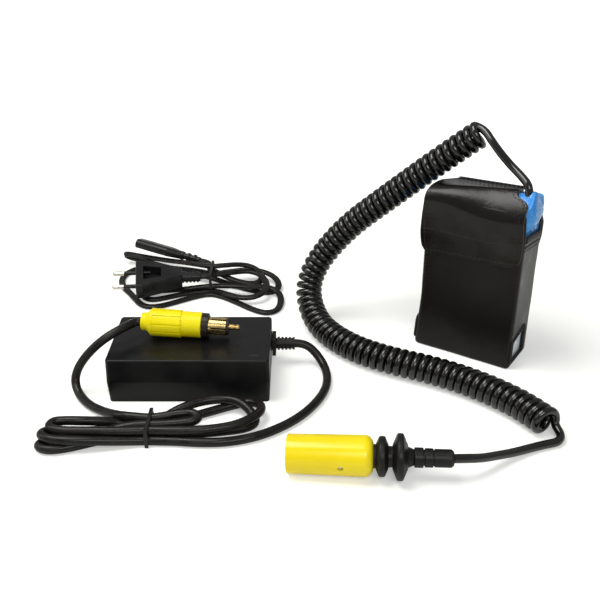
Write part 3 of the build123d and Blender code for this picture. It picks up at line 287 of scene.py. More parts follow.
lead_from_case = [
    (70.55, 20, 16), (77.05, 20, 16), (84.8, 17.2, 11.2), (91.6, 7.4, 5.2), (93.6, -6, 3.4),
    (91.6, -20.5, 3.05), (85.4, -35.5, 3.05), (75.6, -50.6, 3.05), (62.6, -63.4, 3.05),
    (47, -73.4, 3.05), (29.6, -78.8, 3.05), (12.6, -79.4, 3.05), (-2.5, -77.8, 3.05), (-12, -77.5, 3.05),
]
lead_low_front_fold = [
    (-20.6, -77.3, 3.1), (-30, -78.5, 3.8), (-42.5, -81, 5.5), (-57, -83.4, 7.6), (-69, -84.6, 8.5),
    (-80, -83.4, 8.8), (-86.6, -78.5, 8.8), (-83, -72, 7.2), (-70, -70, 4.8), (-57, -68, 3.6),
    (-45, -66, 3.1), (-33, -65.3, 3.1), (-20.6, -65, 3.1),
]
lead_outer_loop = [
    (-8, -59.5, 3.1), (6.5, -50.8, 3.1), (19, -44.6, 3.2), (32, -39.2, 4), (43.5, -38.6, 5.8),
    (49.8, -46, 7.6), (48.2, -57, 8.8), (35.5, -68.8, 8.8), (19.7, -73.2, 8.6), (5, -74.7, 8.6),
    (-9, -74.4, 8.5), (-20.6, -74, 8.4),
]
lead_top_fold = [
    (-31, -75.3, 8.8), (-46, -76.6, 9.6), (-61.6, -77.2, 10.3), (-73, -77.6, 10.6), (-82, -74.6, 10.8),
    (-81, -67.6, 10.6), (-73, -66, 10.2), (-62.7, -65.6, 9.6), (-50, -62.8, 7.4), (-41, -60, 3.8),
    (-31, -59, 3.1), (-20.6, -59, 3.1),
]
lead_inner_loop = [
    (-13, -56.4, 5), (-7, -52.8, 7.6), (2, -47.6, 9.2), (11.4, -43, 9.4), (22.3, -40.8, 9.4),
    (32.5, -42.2, 9.2), (39.5, -47.6, 8), (44.2, -53, 5), (46.2, -58.5, 3.2), (40.5, -64.3, 3.1),
    (27.5, -67.4, 3.1), (11.3, -69.8, 3.1), (-5, -71, 3.1), (-20.6, -71, 3.1),
]
lead_rear_fold = [
    (-33, -71.5, 3.1), (-45, -74.7, 3.1), (-58, -80.4, 3.1), (-70, -85.2, 3.1), (-81, -87, 3.1),
    (-88, -82.4, 3.1), (-83, -76.8, 3.1), (-70, -75.6, 3.1), (-57, -74, 3.5), (-48, -71.5, 5.2),
    (-38, -69.3, 7.4), (-28, -68.2, 8.4), (-20.6, -68, 8.4),
]
lead_short_fold = [
    (-11, -67.4, 8.4), (-1, -66.4, 8.6), (7, -65.4, 9), (10.5, -61.5, 9.6), (6, -57.6, 10.2),
    (-3, -58.4, 10.2), (-12, -60.5, 9.4), (-20.6, -61.8, 8.8), (-30, -60.4, 8.8),
]
lead_to_plug = [
    (-36.5, -60, 9.2), (-43.5, -56.7, 7.8), (-53, -48.8, 4.6), (-65.7, -38.7, 3.2), (-74.9, -27.2, 4.4),
    (-78.6, -19.6, 9.4), (-76.6, -16.8, 17.2), (-70.6, -16.3, 26.2), (-63.2, -15.2, 34),
    (-55.2, -12.6, 39.8), (-47.9, -7.6, 42.4), (-41.6, -0.6, 42.8), (-37.0, 3.7, 43.3), (-29.0, 3.4, 42.9),
]
lead_thickness, lead_steps = 6.0, 10
adapter_lead = laid_curve(
    "adapter_lead",
    lead_from_case + lead_low_front_fold + lead_outer_loop + lead_top_fold + lead_inner_loop
    + lead_rear_fold + lead_short_fold + lead_to_plug,
    lead_thickness, lead_steps,
)
adapter_lead.data.materials.append(lead_jacket)
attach(adapter_lead, "adapter")
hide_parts("output_lead", "output_lead_hank", "output_lead_to_plug")


# Wire tie
# A band of plastic-covered wire closes the neck of the hank. The thin tie on the mains
# lead wears the same plastic.
tie_plastic = moulding("tie_plastic", (0.010, 0.010, 0.0105), (0.018, 0.018, 0.019), 0.38, 0.1, 1200.0, 0.000006)
coat_nodes(tie_plastic, "output_lead_tie", "mains_lead_tie")


# Yellow accessory plug
# Cap and body are turned from the same lemon-yellow ABS and screw together over a black
# collar. A slotted plated sleeve and a brass tip carry the current.
plug_yellow = moulding("plug_yellow", (0.80, 0.68, 0.003), (0.83, 0.72, 0.004), 0.34, 0.10, 1400.0, 0.000006, 45.0)
collar_black = moulding("collar_black", (0.012, 0.009, 0.006), (0.022, 0.017, 0.012), 0.26, 0.1, 1300.0, 0.000006)
insulator_black = moulding("insulator_black", (0.012, 0.012, 0.012), (0.02, 0.02, 0.02), 0.4, 0.1, 1300.0, 0.000006)
plated_brass = moulding("plated_brass", (0.47, 0.34, 0.13), (0.60, 0.45, 0.20), 0.24, 0.16, 700.0, 0.000003, 120.0,
                        Metallic=1.0)
tip_brass = moulding("tip_brass", (0.44, 0.30, 0.11), (0.56, 0.40, 0.17), 0.26, 0.16, 700.0, 0.000003, 120.0,
                     Metallic=1.0)
coat_nodes(plug_yellow, "plug_cap", "plug_body")
coat_nodes(collar_black, "plug_collar")
coat_nodes(insulator_black, "plug_insulator")
coat_nodes(plated_brass, "plug_sleeve_contact")
coat_nodes(tip_brass, "plug_tip_contact")


# Mains lead
# Flat twin flex, two 3.3 mm cores side by side, moulded to a two-pin plug and a
# figure-eight connector and folded into a bundle that one thin tie holds.
def mesh_of(piece):
    """What a piece's curve or modifiers come to, as a plain mesh."""
    bpy.context.view_layer.update()
    return bpy.data.meshes.new_from_object(piece.evaluated_get(bpy.context.evaluated_depsgraph_get()))


def line_through(route, resolution):
    """Closely spaced points along a smooth line through a route of a few points."""
    laid = laid_curve("route", route, 0.0, resolution)
    mesh = mesh_of(laid)
    points = [v.co.copy() for v in mesh.vertices]
    bpy.data.objects.remove(laid)
    bpy.data.meshes.remove(mesh)
    return points


def new_piece(name, points, faces):
    mesh = bpy.data.meshes.new(name)
    mesh.from_pydata(points, [], faces)
    mesh.validate()
    return placed(name, mesh)


def smoothed(piece):
    for face in piece.data.polygons:
        face.use_smooth = True
    return piece


def swept(name, rings, closed=False):
    """Skins a row of rings of points. A row that isn't closed on itself gets a flat face at each end."""
    n, count = len(rings[0]), len(rings)
    faces = []
    for i in range(count if closed else count - 1):
        here, after = i * n, (i + 1) % count * n
        faces += [(here + k, here + (k + 1) % n, after + (k + 1) % n, after + k) for k in range(n)]
    if not closed:
        faces += [tuple(range(n - 1, -1, -1)), tuple(range((count - 1) * n, count * n))]
    piece = new_piece(name, [spot for ring in rings for spot in ring], faces)
    first = piece.data.polygons[0]
    if first.normal.dot(first.center - sum(rings[0], Vector()) / n) < 0.0:
        piece.data.flip_normals()
    return smoothed(piece)


def heading(line, i):
    return (line[min(i + 1, len(line) - 1)] - line[max(i - 1, 0)]).normalized()


straight_up = Vector((0.0, 0.0, 1.0))


def flat_flex(name, line, section, settle):
    """A flat lead whose wide side turns back to level by the share settle at each step."""
    rings = []
    side = straight_up.cross(line[1] - line[0]).normalized()
    for i, spot in enumerate(line):
        along = heading(line, i)
        side = (side - along * side.dot(along)).normalized()
        level = straight_up.cross(along)
        if level.length > 0.5:
            level.normalize()
            if level.dot(side) < 0.0:
                level.negate()
            side = side.lerp(level, settle).normalized()
        up = along.cross(side)
        rings.append([spot + side * a + up * b for a, b in section])
    return swept(name, rings)


def twin_section(width, thickness, steps):
    r, offset, groove = thickness / 2000.0, (width - thickness) / 2000.0, 125.0
    right = [(offset + r * math.cos(a), r * math.sin(a))
             for a in (math.radians(groove * (2.0 * k / steps - 1.0)) for k in range(steps + 1))]
    left = [(-x, y) for x, y in reversed(right)]
    return right + left


mains_out_of_plug = [
    (-9.6, 134.7, 13.5), (-5, 135.5, 13.7), (0, 136.8, 14.2), (9, 140.5, 13.4), (20, 146, 12.6),
    (30, 149, 12), (38.5, 146, 11.2), (44, 138, 10.4), (47, 127, 9.4), (44.5, 116.5, 7.8),
    (36, 110.5, 6.2), (25, 111.5, 5.4), (14, 118.5, 5.2), (5, 127, 3.6), (-1, 131.8, 1.9),
]
mains_under_plug = [
    (-14, 129, 1.8), (-28, 123.5, 1.8), (-40, 117.5, 1.8), (-48, 114.8, 1.8), (-55, 118.5, 1.9),
    (-54.5, 126.5, 2.2), (-47, 130, 2.5), (-36, 130.5, 2.8), (-24, 130.8, 3.6), (-12, 131.4, 5.2),
    (-1, 131, 6.6),
]
mains_front_loop = [
    (13.8, 129.2, 7.8), (28, 127, 7.8), (42, 129.6, 7.2), (51.5, 127.5, 6.2), (57.8, 121, 4.4),
    (59, 109, 2.4), (56, 96, 1.8), (47, 91.4, 1.8), (36, 98, 1.8), (24, 109.2, 1.8), (11, 120.3, 1.8),
    (-1, 126.3, 1.8),
]
mains_round_the_pins = [
    (-14, 120.3, 1.8), (-28, 110.8, 1.8), (-40, 103.4, 1.8), (-50, 102.4, 1.8), (-57, 108, 1.8),
    (-62, 117, 1.8), (-68.5, 127.5, 1.8), (-75.5, 138, 1.8), (-79.8, 149, 1.8), (-79.8, 161, 1.8),
    (-75, 171.5, 1.8), (-66.5, 178.5, 1.8), (-54, 178, 2.4), (-38, 171, 4.4), (-20, 161, 7.2),
    (-8, 152.5, 9.4), (-1, 147.5, 10),
]
mains_right_loop = [
    (10, 150.5, 10.4), (26, 157.5, 9.5), (40, 157.5, 8.5), (51.5, 150, 7), (56.8, 139.5, 4.8),
    (54.8, 130.5, 2.6), (47, 127.5, 1.8), (36, 131, 1.8), (22, 138.5, 2), (9, 144.5, 3.8), (-1, 147.3, 6),
]
mains_rear_fold = [
    (-13, 154, 6), (-28, 162.5, 5.4), (-44, 172, 5.2), (-58, 180, 5.2), (-70, 186.5, 5.2),
    (-81, 191.5, 5.8), (-84, 191, 8.4), (-80, 188.5, 10.2), (-68, 183.5, 10.2), (-53, 176.8, 10.8),
    (-40, 170, 12), (-27, 162.5, 14), (-13, 151.5, 17), (-1, 143.8, 18.6),
]
mains_top_loop = [
    (10, 147, 18.4), (21, 151, 17.4), (30, 152.5, 15.8), (37.5, 150.5, 13), (41.8, 146, 9.4),
    (41, 139, 6.6), (33, 135.5, 6.2), (22, 137.5, 7.5), (11, 142, 10), (3, 146, 12.8),
    (-2.6, 149, 13.6), (-3.8, 155.6, 13.6), (-4.5, 161, 13.5), (-8.2, 164.5, 13.8), (-13.2, 166.3, 14.0),
]
flex_width, core_thickness, levelling, flex_steps = 5.6, 3.3, 0.12, 8
mains_line = line_through(mains_out_of_plug + mains_under_plug + mains_front_loop + mains_round_the_pins
                          + mains_right_loop + mains_rear_fold + mains_top_loop, flex_steps)
mains_lead = flat_flex("mains_lead", mains_line, twin_section(flex_width, core_thickness, 8), levelling)
mains_lead.data.materials.append(lead_jacket)
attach(mains_lead, "mains_lead")
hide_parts("mains_lead_at_plug", "mains_lead_hank", "mains_lead_ring", "mains_lead_at_connector")


# Mains plug and connector
# Both ends of the mains lead are overmoulded in black PVC with a fine satin texture.
# The plug's two nickel pins wear moulded sleeves over half their length.
mains_black = moulding("mains_black", (0.0075, 0.0075, 0.0078), (0.013, 0.013, 0.0133), 0.34, 0.14, 1500.0, 0.00001)
sleeve_black = moulding("sleeve_black", (0.010, 0.010, 0.0105), (0.015, 0.015, 0.0155), 0.30, 0.08, 1200.0, 0.000004)
coat_nodes(mains_black, "mains_plug_body", "mains_connector_body")
coat_nodes(sleeve_black, "mains_plug_pin_sleeves")


# Battery pack
# Twelve sleeved cells lie across the pouch in two nested columns. Card papers cover
# their ends, nickel strips join them, and a small protection board sits on top.
cell_teal = moulding("cell_teal", (0.05, 0.30, 0.24), (0.07, 0.36, 0.30), 0.28, 0.1, 500.0, 0.000005)
paper = moulding("cell_paper", (0.62, 0.57, 0.46), (0.70, 0.66, 0.56), 0.8, 0.1, 1600.0, 0.00002)
strip_nickel = moulding("strip_nickel", (0.60, 0.59, 0.56), (0.70, 0.69, 0.66), 0.3, 0.2, 700.0, 0.000005,
                        Metallic=1.0)
coat_nodes(cell_teal, "battery_cells")
coat_nodes(paper, "cell_end_papers")
coat_nodes(strip_nickel, "nickel_strips")
coat_nodes(board_green, "protection_board")


# Blue film
# A tube of blue PVC film is shrunk round the pack. It is tight on the sides, creased and
# stretched pale at the base, where its pale colour is also brightened as painted light,
# and loose over the corner where the cord comes out.
pouch_corner = Vector((0.1619, 0.0476, 0.0))
pouch_yaw = math.radians(-32.8)
across_pouch = Vector((math.cos(pouch_yaw), math.sin(pouch_yaw), 0.0))
into_pouch = Vector((-math.sin(pouch_yaw), math.cos(pouch_yaw), 0.0))


def in_pouch(u, v, z):
    return pouch_corner + (across_pouch * u + into_pouch * v) / 1000.0 + Vector((0.0, 0.0, z / 1000.0))


def smooth(low, high, x):
    t = min(max((x - low) / (high - low), 0.0), 1.0)
    return t * t * (3.0 - 2.0 * t)


def rounded_box_points(low, high, radius, spacing):
    """Closed quads round a box: the corners' coordinates and the faces, sharing their edges."""
    counts = [max(2, round((b - a) / spacing)) for a, b in zip(low, high)]
    places, points, faces = {}, [], []

    def corner(*key):
        if key not in places:
            places[key] = len(points)
            spot = Vector(a + (b - a) * k / n for a, b, k, n in zip(low, high, key, counts))
            core = Vector(min(max(s, a + radius), b - radius) for s, a, b in zip(spot, low, high))
            points.append(core + (spot - core).normalized() * radius)
        return places[key]

    for axis in range(3):
        one, two = (axis + 1) % 3, (axis + 2) % 3
        for end in (0, counts[axis]):
            for i in range(counts[one]):
                for j in range(counts[two]):
                    ring = []
                    for di, dj in ((0, 0), (1, 0), (1, 1), (0, 1)):
                        key = [0, 0, 0]
                        key[axis], key[one], key[two] = end, i + di, j + dj
                        ring.append(corner(*key))
                    faces.append(tuple(ring if end else reversed(ring)))
    return points, faces


film_right, film_top, pale_below = 70.1, 120.7, 0.028
film_low, film_high, film_radius = (1.9, 1.4, 1.45), (film_right, 36.0, film_top), 2.4
film_points, film_faces = rounded_box_points(film_low, film_high, film_radius, 1.25)
film_middle_u, film_middle_v = (film_low[0] + film_high[0]) / 2, (film_low[1] + film_high[1]) / 2
tent_lift, tent_peak, bulge, crease_depth, fold_depth, tucked = 6.6, 3.2, 4.6, 0.5, 1.1, 1.1
film_spots = []
for u, v, z in film_points:
    over_right = smooth(44.0, 60.0, u) * smooth(3.0, 11.0, v) * (1.0 - 0.78 * smooth(13.5, 24.0, v))
    near_top = smooth(116.0, film_top, z)
    lift = (tent_lift + tent_peak * smooth(61.0, 68.0, u)) * over_right * smooth(118.0, film_top, z)
    swell = smooth(101.5, 110.0, z) * (1.0 - 0.35 * near_top) * smooth(60.0, film_right, u)
    out = bulge * swell * smooth(1.4, 7.0, v) * (1.0 - 0.6 * smooth(16.0, 36.0, v))
    crease = noise.noise(Vector((u * 0.11, v * 0.16, z * 0.16)))
    fold = abs(noise.noise(Vector((u * 0.25 + 7.0, v * 0.32, z * 0.22))))
    loose = 0.22 + 0.9 * max(swell, over_right * near_top)
    outward = Vector((u - film_middle_u, (v - film_middle_v) * 2.0, 0.0)).normalized()
    inset = (crease_depth * crease - fold_depth * fold) * loose
    pressed = tucked * near_top * smooth(22.0, 34.0, v) * (1.0 - smooth(6.0, 26.0, u))
    film_spots.append(in_pouch(u + out + outward.x * inset, v + outward.y * inset, z + lift - pressed + inset * 0.6))


film_blue = moulding("film_blue", (0.018, 0.22, 0.68), (0.09, 0.36, 0.78), 0.22, 0.16, 170.0, 0.0006, 70.0,
                     Coat_Weight=0.3, Coat_Roughness=0.12)
# The film below the windows is pale, and its colour is brightened further as painted light where the windows lie in
# shade.
pale_film_and_painted_light = moulding("pale_film_and_painted_light", (0.76, 0.85, 0.96), (0.86, 0.92, 0.98), 0.28, 0.16, 170.0, 0.0006, 70.0,
                     Coat_Weight=0.3, Coat_Roughness=0.12)
blue_film = smoothed(new_piece("blue_film", film_spots, film_faces))
blue_film.data.materials.append(film_blue)
blue_film.data.materials.append(pale_film_and_painted_light)
for face in blue_film.data.polygons:
    face.material_index = 1 if face.center.z < pale_below else 0
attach(blue_film, "battery_set")
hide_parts("battery_wrap")


# Pouch body
# A front and back of black split leather are sewn to softer grey-black vinyl sides over a
# stiffened base, the sides' lighter grey being partly a painted reflection of the white table.
# Each side has a low window, and its top edge is bound with folded tape.
leather_hide, given, put_out = shader_group("leather_hide", {
    "Colour": (0.01, 0.01, 0.01), "Rubbed Colour": (0.02, 0.02, 0.02), "Roughness": 0.4,
    "Pore Scale": 900.0, "Pore Depth": 0.00008, "Crease Scale": 60.0, "Crease Depth": 0.0003,
})
pores = wired(leather_hide, "ShaderNodeTexVoronoi", {"Vector": given["Coordinates"], "Scale": given["Pore Scale"]},
              feature="SMOOTH_F1")
pebble = worked(leather_hide, "MULTIPLY", pores.outputs["Distance"], given["Pore Depth"])
creases = cloud(leather_hide, given["Coordinates"], given["Crease Scale"], 5.0, 0.6)
ridge = worked(leather_hide, "ABSOLUTE", worked(leather_hide, "SUBTRACT", creases, 0.5))
raised = worked(leather_hide, "MULTIPLY", ridge, given["Crease Depth"])
rub = stepped(leather_hide, cloud(leather_hide, given["Coordinates"], 42.0, 4.0, 0.6), 0.42, 0.72)
matt = worked(leather_hide, "MULTIPLY", worked(leather_hide, "SUBTRACT", 0.5, rub), 0.10)
fill(leather_hide, put_out, {
    "Colour": blended(leather_hide, rub, given["Colour"], given["Rubbed Colour"]),
    "Roughness": worked(leather_hide, "ADD", given["Roughness"], matt),
    "Height": worked(leather_hide, "SUBTRACT", raised, pebble),
})


def hide(name, colour, rubbed, roughness, pores, creases, sheen):
    values = {"Colour": colour, "Rubbed Colour": rubbed, "Roughness": roughness, "Pore Scale": pores[0],
              "Pore Depth": pores[1], "Crease Scale": creases[0], "Crease Depth": creases[1]}
    return finish(name, leather_hide, values, {"Specular IOR Level": sheen})


front_hide = hide("front_hide", (0.0042, 0.0032, 0.0032), (0.0065, 0.0054, 0.0052), 0.34, (950.0, 0.00005),
                  (70.0, 0.0002), 0.22)
# The sides' lighter grey is partly the vinyl's own and partly a painted reflection of the white table.
side_vinyl_painted_reflection = hide("side_vinyl_painted_reflection", (0.022, 0.022, 0.0235), (0.042, 0.042, 0.045), 0.34, (1200.0, 0.00004),
                  (110.0, 0.0003), 0.3)
binding_tape = moulding("binding_tape", (0.012, 0.012, 0.0125), (0.026, 0.026, 0.027), 0.55, 0.1, 2200.0, 0.00004)

pouch_width, pouch_depth = 72.0, 37.4
pouch_wall = 1.2
front_radius, rear_radius = 3.4, 4.0
front_top, rear_top = 118.0, 121.0
side_front_top, side_rear_top = 101.0, 95.5
window_v, window_low, window_tops = (1.9, 26.5), 4.5, (22.0, 26.0)


def pouch_outline():
    spots = []

    def run(start, end, count):
        for k in range(count):
            spots.append(tuple(Vector(start).lerp(Vector(end), k / count)))

    def bend(centre, radius, first, count):
        for k in range(count):
            a = math.radians(first + 90.0 * k / count)
            spots.append((centre[0] + radius * math.cos(a), centre[1] + radius * math.sin(a)))

    width, depth, fr, rr = pouch_width, pouch_depth, front_radius, rear_radius
    run((fr, 0.0), (width - fr, 0.0), 40)
    bend((width - fr, fr), fr, -90.0, 6)
    run((width, fr), (width, window_v[1]), 15)
    run((width, window_v[1]), (width, depth - rr), 5)
    bend((width - rr, depth - rr), rr, 0.0, 5)
    run((width - rr, depth), (rr, depth), 40)
    bend((rr, depth - rr), rr, 90.0, 5)
    run((0.0, depth - rr), (0.0, window_v[1]), 5)
    run((0.0, window_v[1]), (0.0, fr), 15)
    bend((fr, fr), fr, 180.0, 6)
    return spots


def side_top(v):
    return side_front_top + (side_rear_top - side_front_top) * v / pouch_depth


def top_at(u, v):
    """The shell's top edge. The rear wall is cut low at the right, where the cord comes out."""
    at_front, at_rear = 1.0 - smooth(0.5, 2.4, v), smooth(pouch_depth - 2.6, pouch_depth - 0.6, v)
    rear = rear_top - pouch_wall - 11.0 * smooth(58.0, pouch_width, u) ** 2
    return side_top(v) + (front_top - side_top(v)) * at_front + (rear - side_top(v)) * at_rear


def window_top(v):
    return window_tops[0] + (window_tops[1] - window_tops[0]) * smooth(*window_v, v)


foot_flare, front_belly, leather_ripple, side_hollow = 2.3, 0.9, 0.35, 0.5


def softened(u, v, z):
    """Moves a point of the flat-sided pouch to where the sewn one sags and bellies."""
    middle_u, middle_v = pouch_width / 2, pouch_depth / 2
    flare = foot_flare * (1.0 - smooth(0.0, 30.0, u)) * (1.0 - smooth(0.0, 46.0, z)) * (1.0 - smooth(0.0, 20.0, v))
    belly = front_belly * math.sin(math.pi * min(max(u / pouch_width, 0.0), 1.0)) * math.sin(math.pi * z / 130.0)
    front_share = (1.0 - smooth(0.0, 4.0, v)) * (1.0 - smooth(66.0, 84.0, z))
    ripple = leather_ripple * noise.noise(Vector((u * 0.05, v * 0.08, z * 0.045)))
    hollow = side_hollow * math.sin(math.pi * z / 110.0) * math.sin(math.pi * v / pouch_depth)
    side = 1.0 if u > middle_u else -1.0
    at_side = smooth(middle_u - 6.0, middle_u, abs(u - middle_u))
    u = u - flare - side * hollow * at_side * 0.5 + side * at_side * ripple * 0.6
    v = v - (belly + ripple) * front_share + (0.5 * ripple if v > middle_v else 0.0) * (1.0 - front_share)
    return in_pouch(u, v, z)


pouch_rim = pouch_outline()
foot_rows = [(0.0, 1.7), (0.5, 0.8), (1.3, 0.25), (2.6, 0.0)]
window_steps, upper_steps = 12, 56
shell_points, shell_faces, shell_sides = [], [], []
for u, v in pouch_rim:
    inward_u = min(max(u, front_radius), pouch_width - front_radius)
    inward_v = min(max(v, front_radius), pouch_depth - rear_radius)
    inward = Vector((inward_u - u, inward_v - v)).normalized()
    column = [(u + inward.x * inset, v + inward.y * inset, z) for z, inset in foot_rows] + [(u, v, window_low)]
    ceiling = window_top(v)
    column += [(u, v, window_low + (ceiling - window_low) * k / window_steps) for k in range(1, window_steps + 1)]
    column += [(u, v, ceiling + (top_at(u, v) - ceiling) * k / upper_steps) for k in range(1, upper_steps + 1)]
    shell_points += [softened(*spot) for spot in column]
rows = len(foot_rows) + 1 + window_steps + upper_steps
side_reach, leather_lap = 0.35, 1.2
for i, (u, v) in enumerate(pouch_rim):
    after = (i + 1) % len(pouch_rim)
    beyond_u, beyond_v = pouch_rim[after]
    on_side = min(u, beyond_u) < side_reach or max(u, beyond_u) > pouch_width - side_reach
    cut = on_side and window_v[0] - 0.9 < (v + beyond_v) / 2 < window_v[1]
    for k in range(rows - 1):
        if cut and len(foot_rows) <= k < len(foot_rows) + window_steps:
            continue
        shell_faces.append((i * rows + k, after * rows + k, after * rows + k + 1, i * rows + k + 1))
        shell_sides.append(int(on_side and leather_lap < (v + beyond_v) / 2 < pouch_depth - leather_lap))
shell_faces.append(tuple(i * rows for i in reversed(range(len(pouch_rim)))))
shell_sides.append(0)


def with_wall(piece, thickness, offset, subdivide=0, rim=0):
    wall = piece.modifiers.new("wall", "SOLIDIFY")
    wall.material_offset_rim = rim
    wall.thickness = thickness / 1000.0
    wall.offset = offset
    wall.use_even_offset = True
    if subdivide:
        finer = piece.modifiers.new("finer", "SUBSURF")
        finer.levels = finer.render_levels = subdivide
    return settled(piece)


def settled(piece):
    mesh, rough = mesh_of(piece), piece.data
    piece.modifiers.clear()
    piece.data = mesh
    bpy.data.meshes.remove(rough)
    return smoothed(piece)


pouch_shell = new_piece("pouch_shell", shell_points, shell_faces)
pouch_shell.data.materials.append(front_hide)
pouch_shell.data.materials.append(side_vinyl_painted_reflection)
for face, side in zip(pouch_shell.data.polygons, shell_sides):
    face.material_index = side
with_wall(pouch_shell, pouch_wall, -1.0)
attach(pouch_shell, "battery_set")
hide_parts("pouch_body")


def round_section(radius, steps):
    return [(radius * math.cos(2 * math.pi * k / steps), radius * math.sin(2 * math.pi * k / steps))
            for k in range(steps)]


def closed_cord(name, line, section):
    normal = (line[1] - line[0]).cross(line[len(line) // 3] - line[0]).normalized()
    rings = []
    for i, spot in enumerate(line):
        along = (line[(i + 1) % len(line)] - line[i - 1]).normalized()
        side = along.cross(normal).normalized()
        rings.append([spot + side * a + normal * b for a, b in section])
    return swept(name, rings, closed=True)


def window_line(u):
    radius, spots, (near, far) = 2.6, [], window_v
    corners = [(near, window_low), (far, window_low), (far, window_tops[1]), (near, window_tops[0])]
    for k, corner in enumerate(corners):
        here, before, after = Vector(corner), Vector(corners[k - 1]), Vector(corners[(k + 1) % 4])
        start = here + (before - here).normalized() * radius
        end = here + (after - here).normalized() * radius
        for t in (0.0, 0.25, 0.5, 0.75, 1.0):
            spots.append(start.lerp(here, t).lerp(here.lerp(end, t), t))
        last = Vector(corners[(k + 1) % 4]) + (here - after).normalized() * radius
        spots += [end.lerp(last, s / 8.0) for s in range(1, 8)]
    return [softened(u, v, z) for v, z in spots]


piping_radius, piping_out = 0.00105, 0.15
for label, u in (("right", pouch_width + piping_out), ("left", -piping_out)):
    piping = closed_cord(f"window_piping_{label}", window_line(u), round_section(piping_radius, 8))
    piping.data.materials.append(binding_tape)
    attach(piping, "battery_set")


# Side bindings
# Folded ribbed tape caps the top edge of each side, with a second, thinner line of it
# sewn flat just below.
def strip_along(name, line, section, material):
    rings = []
    for i, spot in enumerate(line):
        along = heading(line, i)
        side = along.cross(straight_up).normalized()
        up = side.cross(along)
        rings.append([spot + side * a / 1000.0 + up * b / 1000.0 for a, b in section])
    piece = swept(name, rings)
    piece.data.materials.append(material)
    return piece


def evenly(first, last, steps):
    return [first + (last - first) * k / steps for k in range(steps + 1)]


tape_section = [(-1.25, -3.0), (-1.45, -1.6), (-1.45, 0.2), (-0.9, 0.85), (0.0, 1.05), (0.9, 0.85), (1.45, 0.2),
                (1.45, -1.6), (1.25, -3.0), (0.9, -3.2), (-0.9, -3.2)]
thin_section = [(-0.9, -0.75), (-0.9, 0.75), (-0.45, 1.0), (0.45, 1.0), (0.9, 0.75), (0.9, -0.75), (0.45, -1.0),
                (-0.45, -1.0)]
side_run, tape_inset, flat_tape_below = evenly(3.0, 33.0, 20), 0.5, 6.2
for label, u in (("right", pouch_width - tape_inset), ("left", tape_inset)):
    cap_line = [softened(u, v, side_top(v)) for v in side_run]
    side_tape = strip_along(f"side_tape_{label}", cap_line, tape_section, binding_tape)
    low_line = [softened(u, v, side_top(v) - flat_tape_below) for v in side_run]
    flat_tape = strip_along(f"flat_tape_{label}", low_line, thin_section, binding_tape)
    for tape in (side_tape, flat_tape):
        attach(tape, "battery_set")


# Top panel and flap
# One piece of split leather covers the pack, bends over the front edge and hangs down as
# the flap. It is trimmed back at the rear right corner, where the battery's cord comes out.
flap_left, flap_right = -1.0, 70.6
fold_left, fold_right = 123.0, 136.0
flap_low_left, flap_low_right = 76.2, 81.2
flap_middle_v = -2.2
hide_thickness, panel_rear_v, flap_corner = 1.6, 38.0, 7.5
panel_dip, stand_off_low, stand_off_middle, hide_wave = 0.7, 1.1, 0.5, 0.5
panel_v = (-1.0, 9.0, 19.0, 37.4)
left_rise, right_rise = (0.6, 1.3, 0.7, -1.1), (-0.2, -2.4, -6.6, -11.4)


def through_four(places, values, x):
    total = 0.0
    for i, (here, value) in enumerate(zip(places, values)):
        for j, other in enumerate(places):
            if j != i:
                value *= (x - other) / (here - other)
        total += value
    return total


def fold_height(u):
    return fold_left + (fold_right - fold_left) * (u - flap_left) / (flap_right - flap_left)


def panel_middle(u, v):
    share = (u - flap_left) / (flap_right - flap_left)
    rise = (1.0 - share) * through_four(panel_v, left_rise, v) + share * through_four(panel_v, right_rise, v)
    dip = panel_dip * math.sin(math.pi * min(max(share, 0.0), 1.0)) * math.sin(math.pi * min(max(v / 37.0, 0.0), 1.0))
    return fold_height(u) + rise - hide_thickness / 2 - dip


def panel_edges(v):
    left = 0.2 - 1.2 * (1.0 - smooth(-2.2, 5.0, v)) + 9.0 * smooth(20.0, 40.0, v)
    right = 61.4 - 5.2 * (v - 4.0) / 34.0 + 9.2 * (1.0 - smooth(4.0, 8.4, v))
    return left, min(right, flap_right)


def flap_edges(share):
    """The flap's left and right edges at a share of its way down."""
    left = flap_left - 0.8 * math.sin(math.pi * min(share * 1.05, 1.0)) + smooth(0.55, 1.0, share)
    right = flap_right + 1.3 * math.sin(math.pi * min(share * 0.9, 1.0)) + 0.4 * share
    return left, right


def flap_low(u):
    return flap_low_left + (flap_low_right - flap_low_left) * u / pouch_width


def bend_reach(u):
    return 9.0 + 6.5 * smooth(6.0, 56.0, u)


def bend_drop(u):
    return 9.5 + 9.0 * smooth(0.0, 60.0, u)


def bend_slack(u):
    return 1.0 + 0.45 * smooth(6.0, 44.0, u)


def row_depth(u, row):
    start = flap_middle_v + bend_reach(u)
    if row <= 1.0:
        return panel_rear_v - (panel_rear_v - start) * row
    return start - bend_reach(u) * math.sin(math.radians(90.0 * (row - 1.0))) ** bend_slack(u)


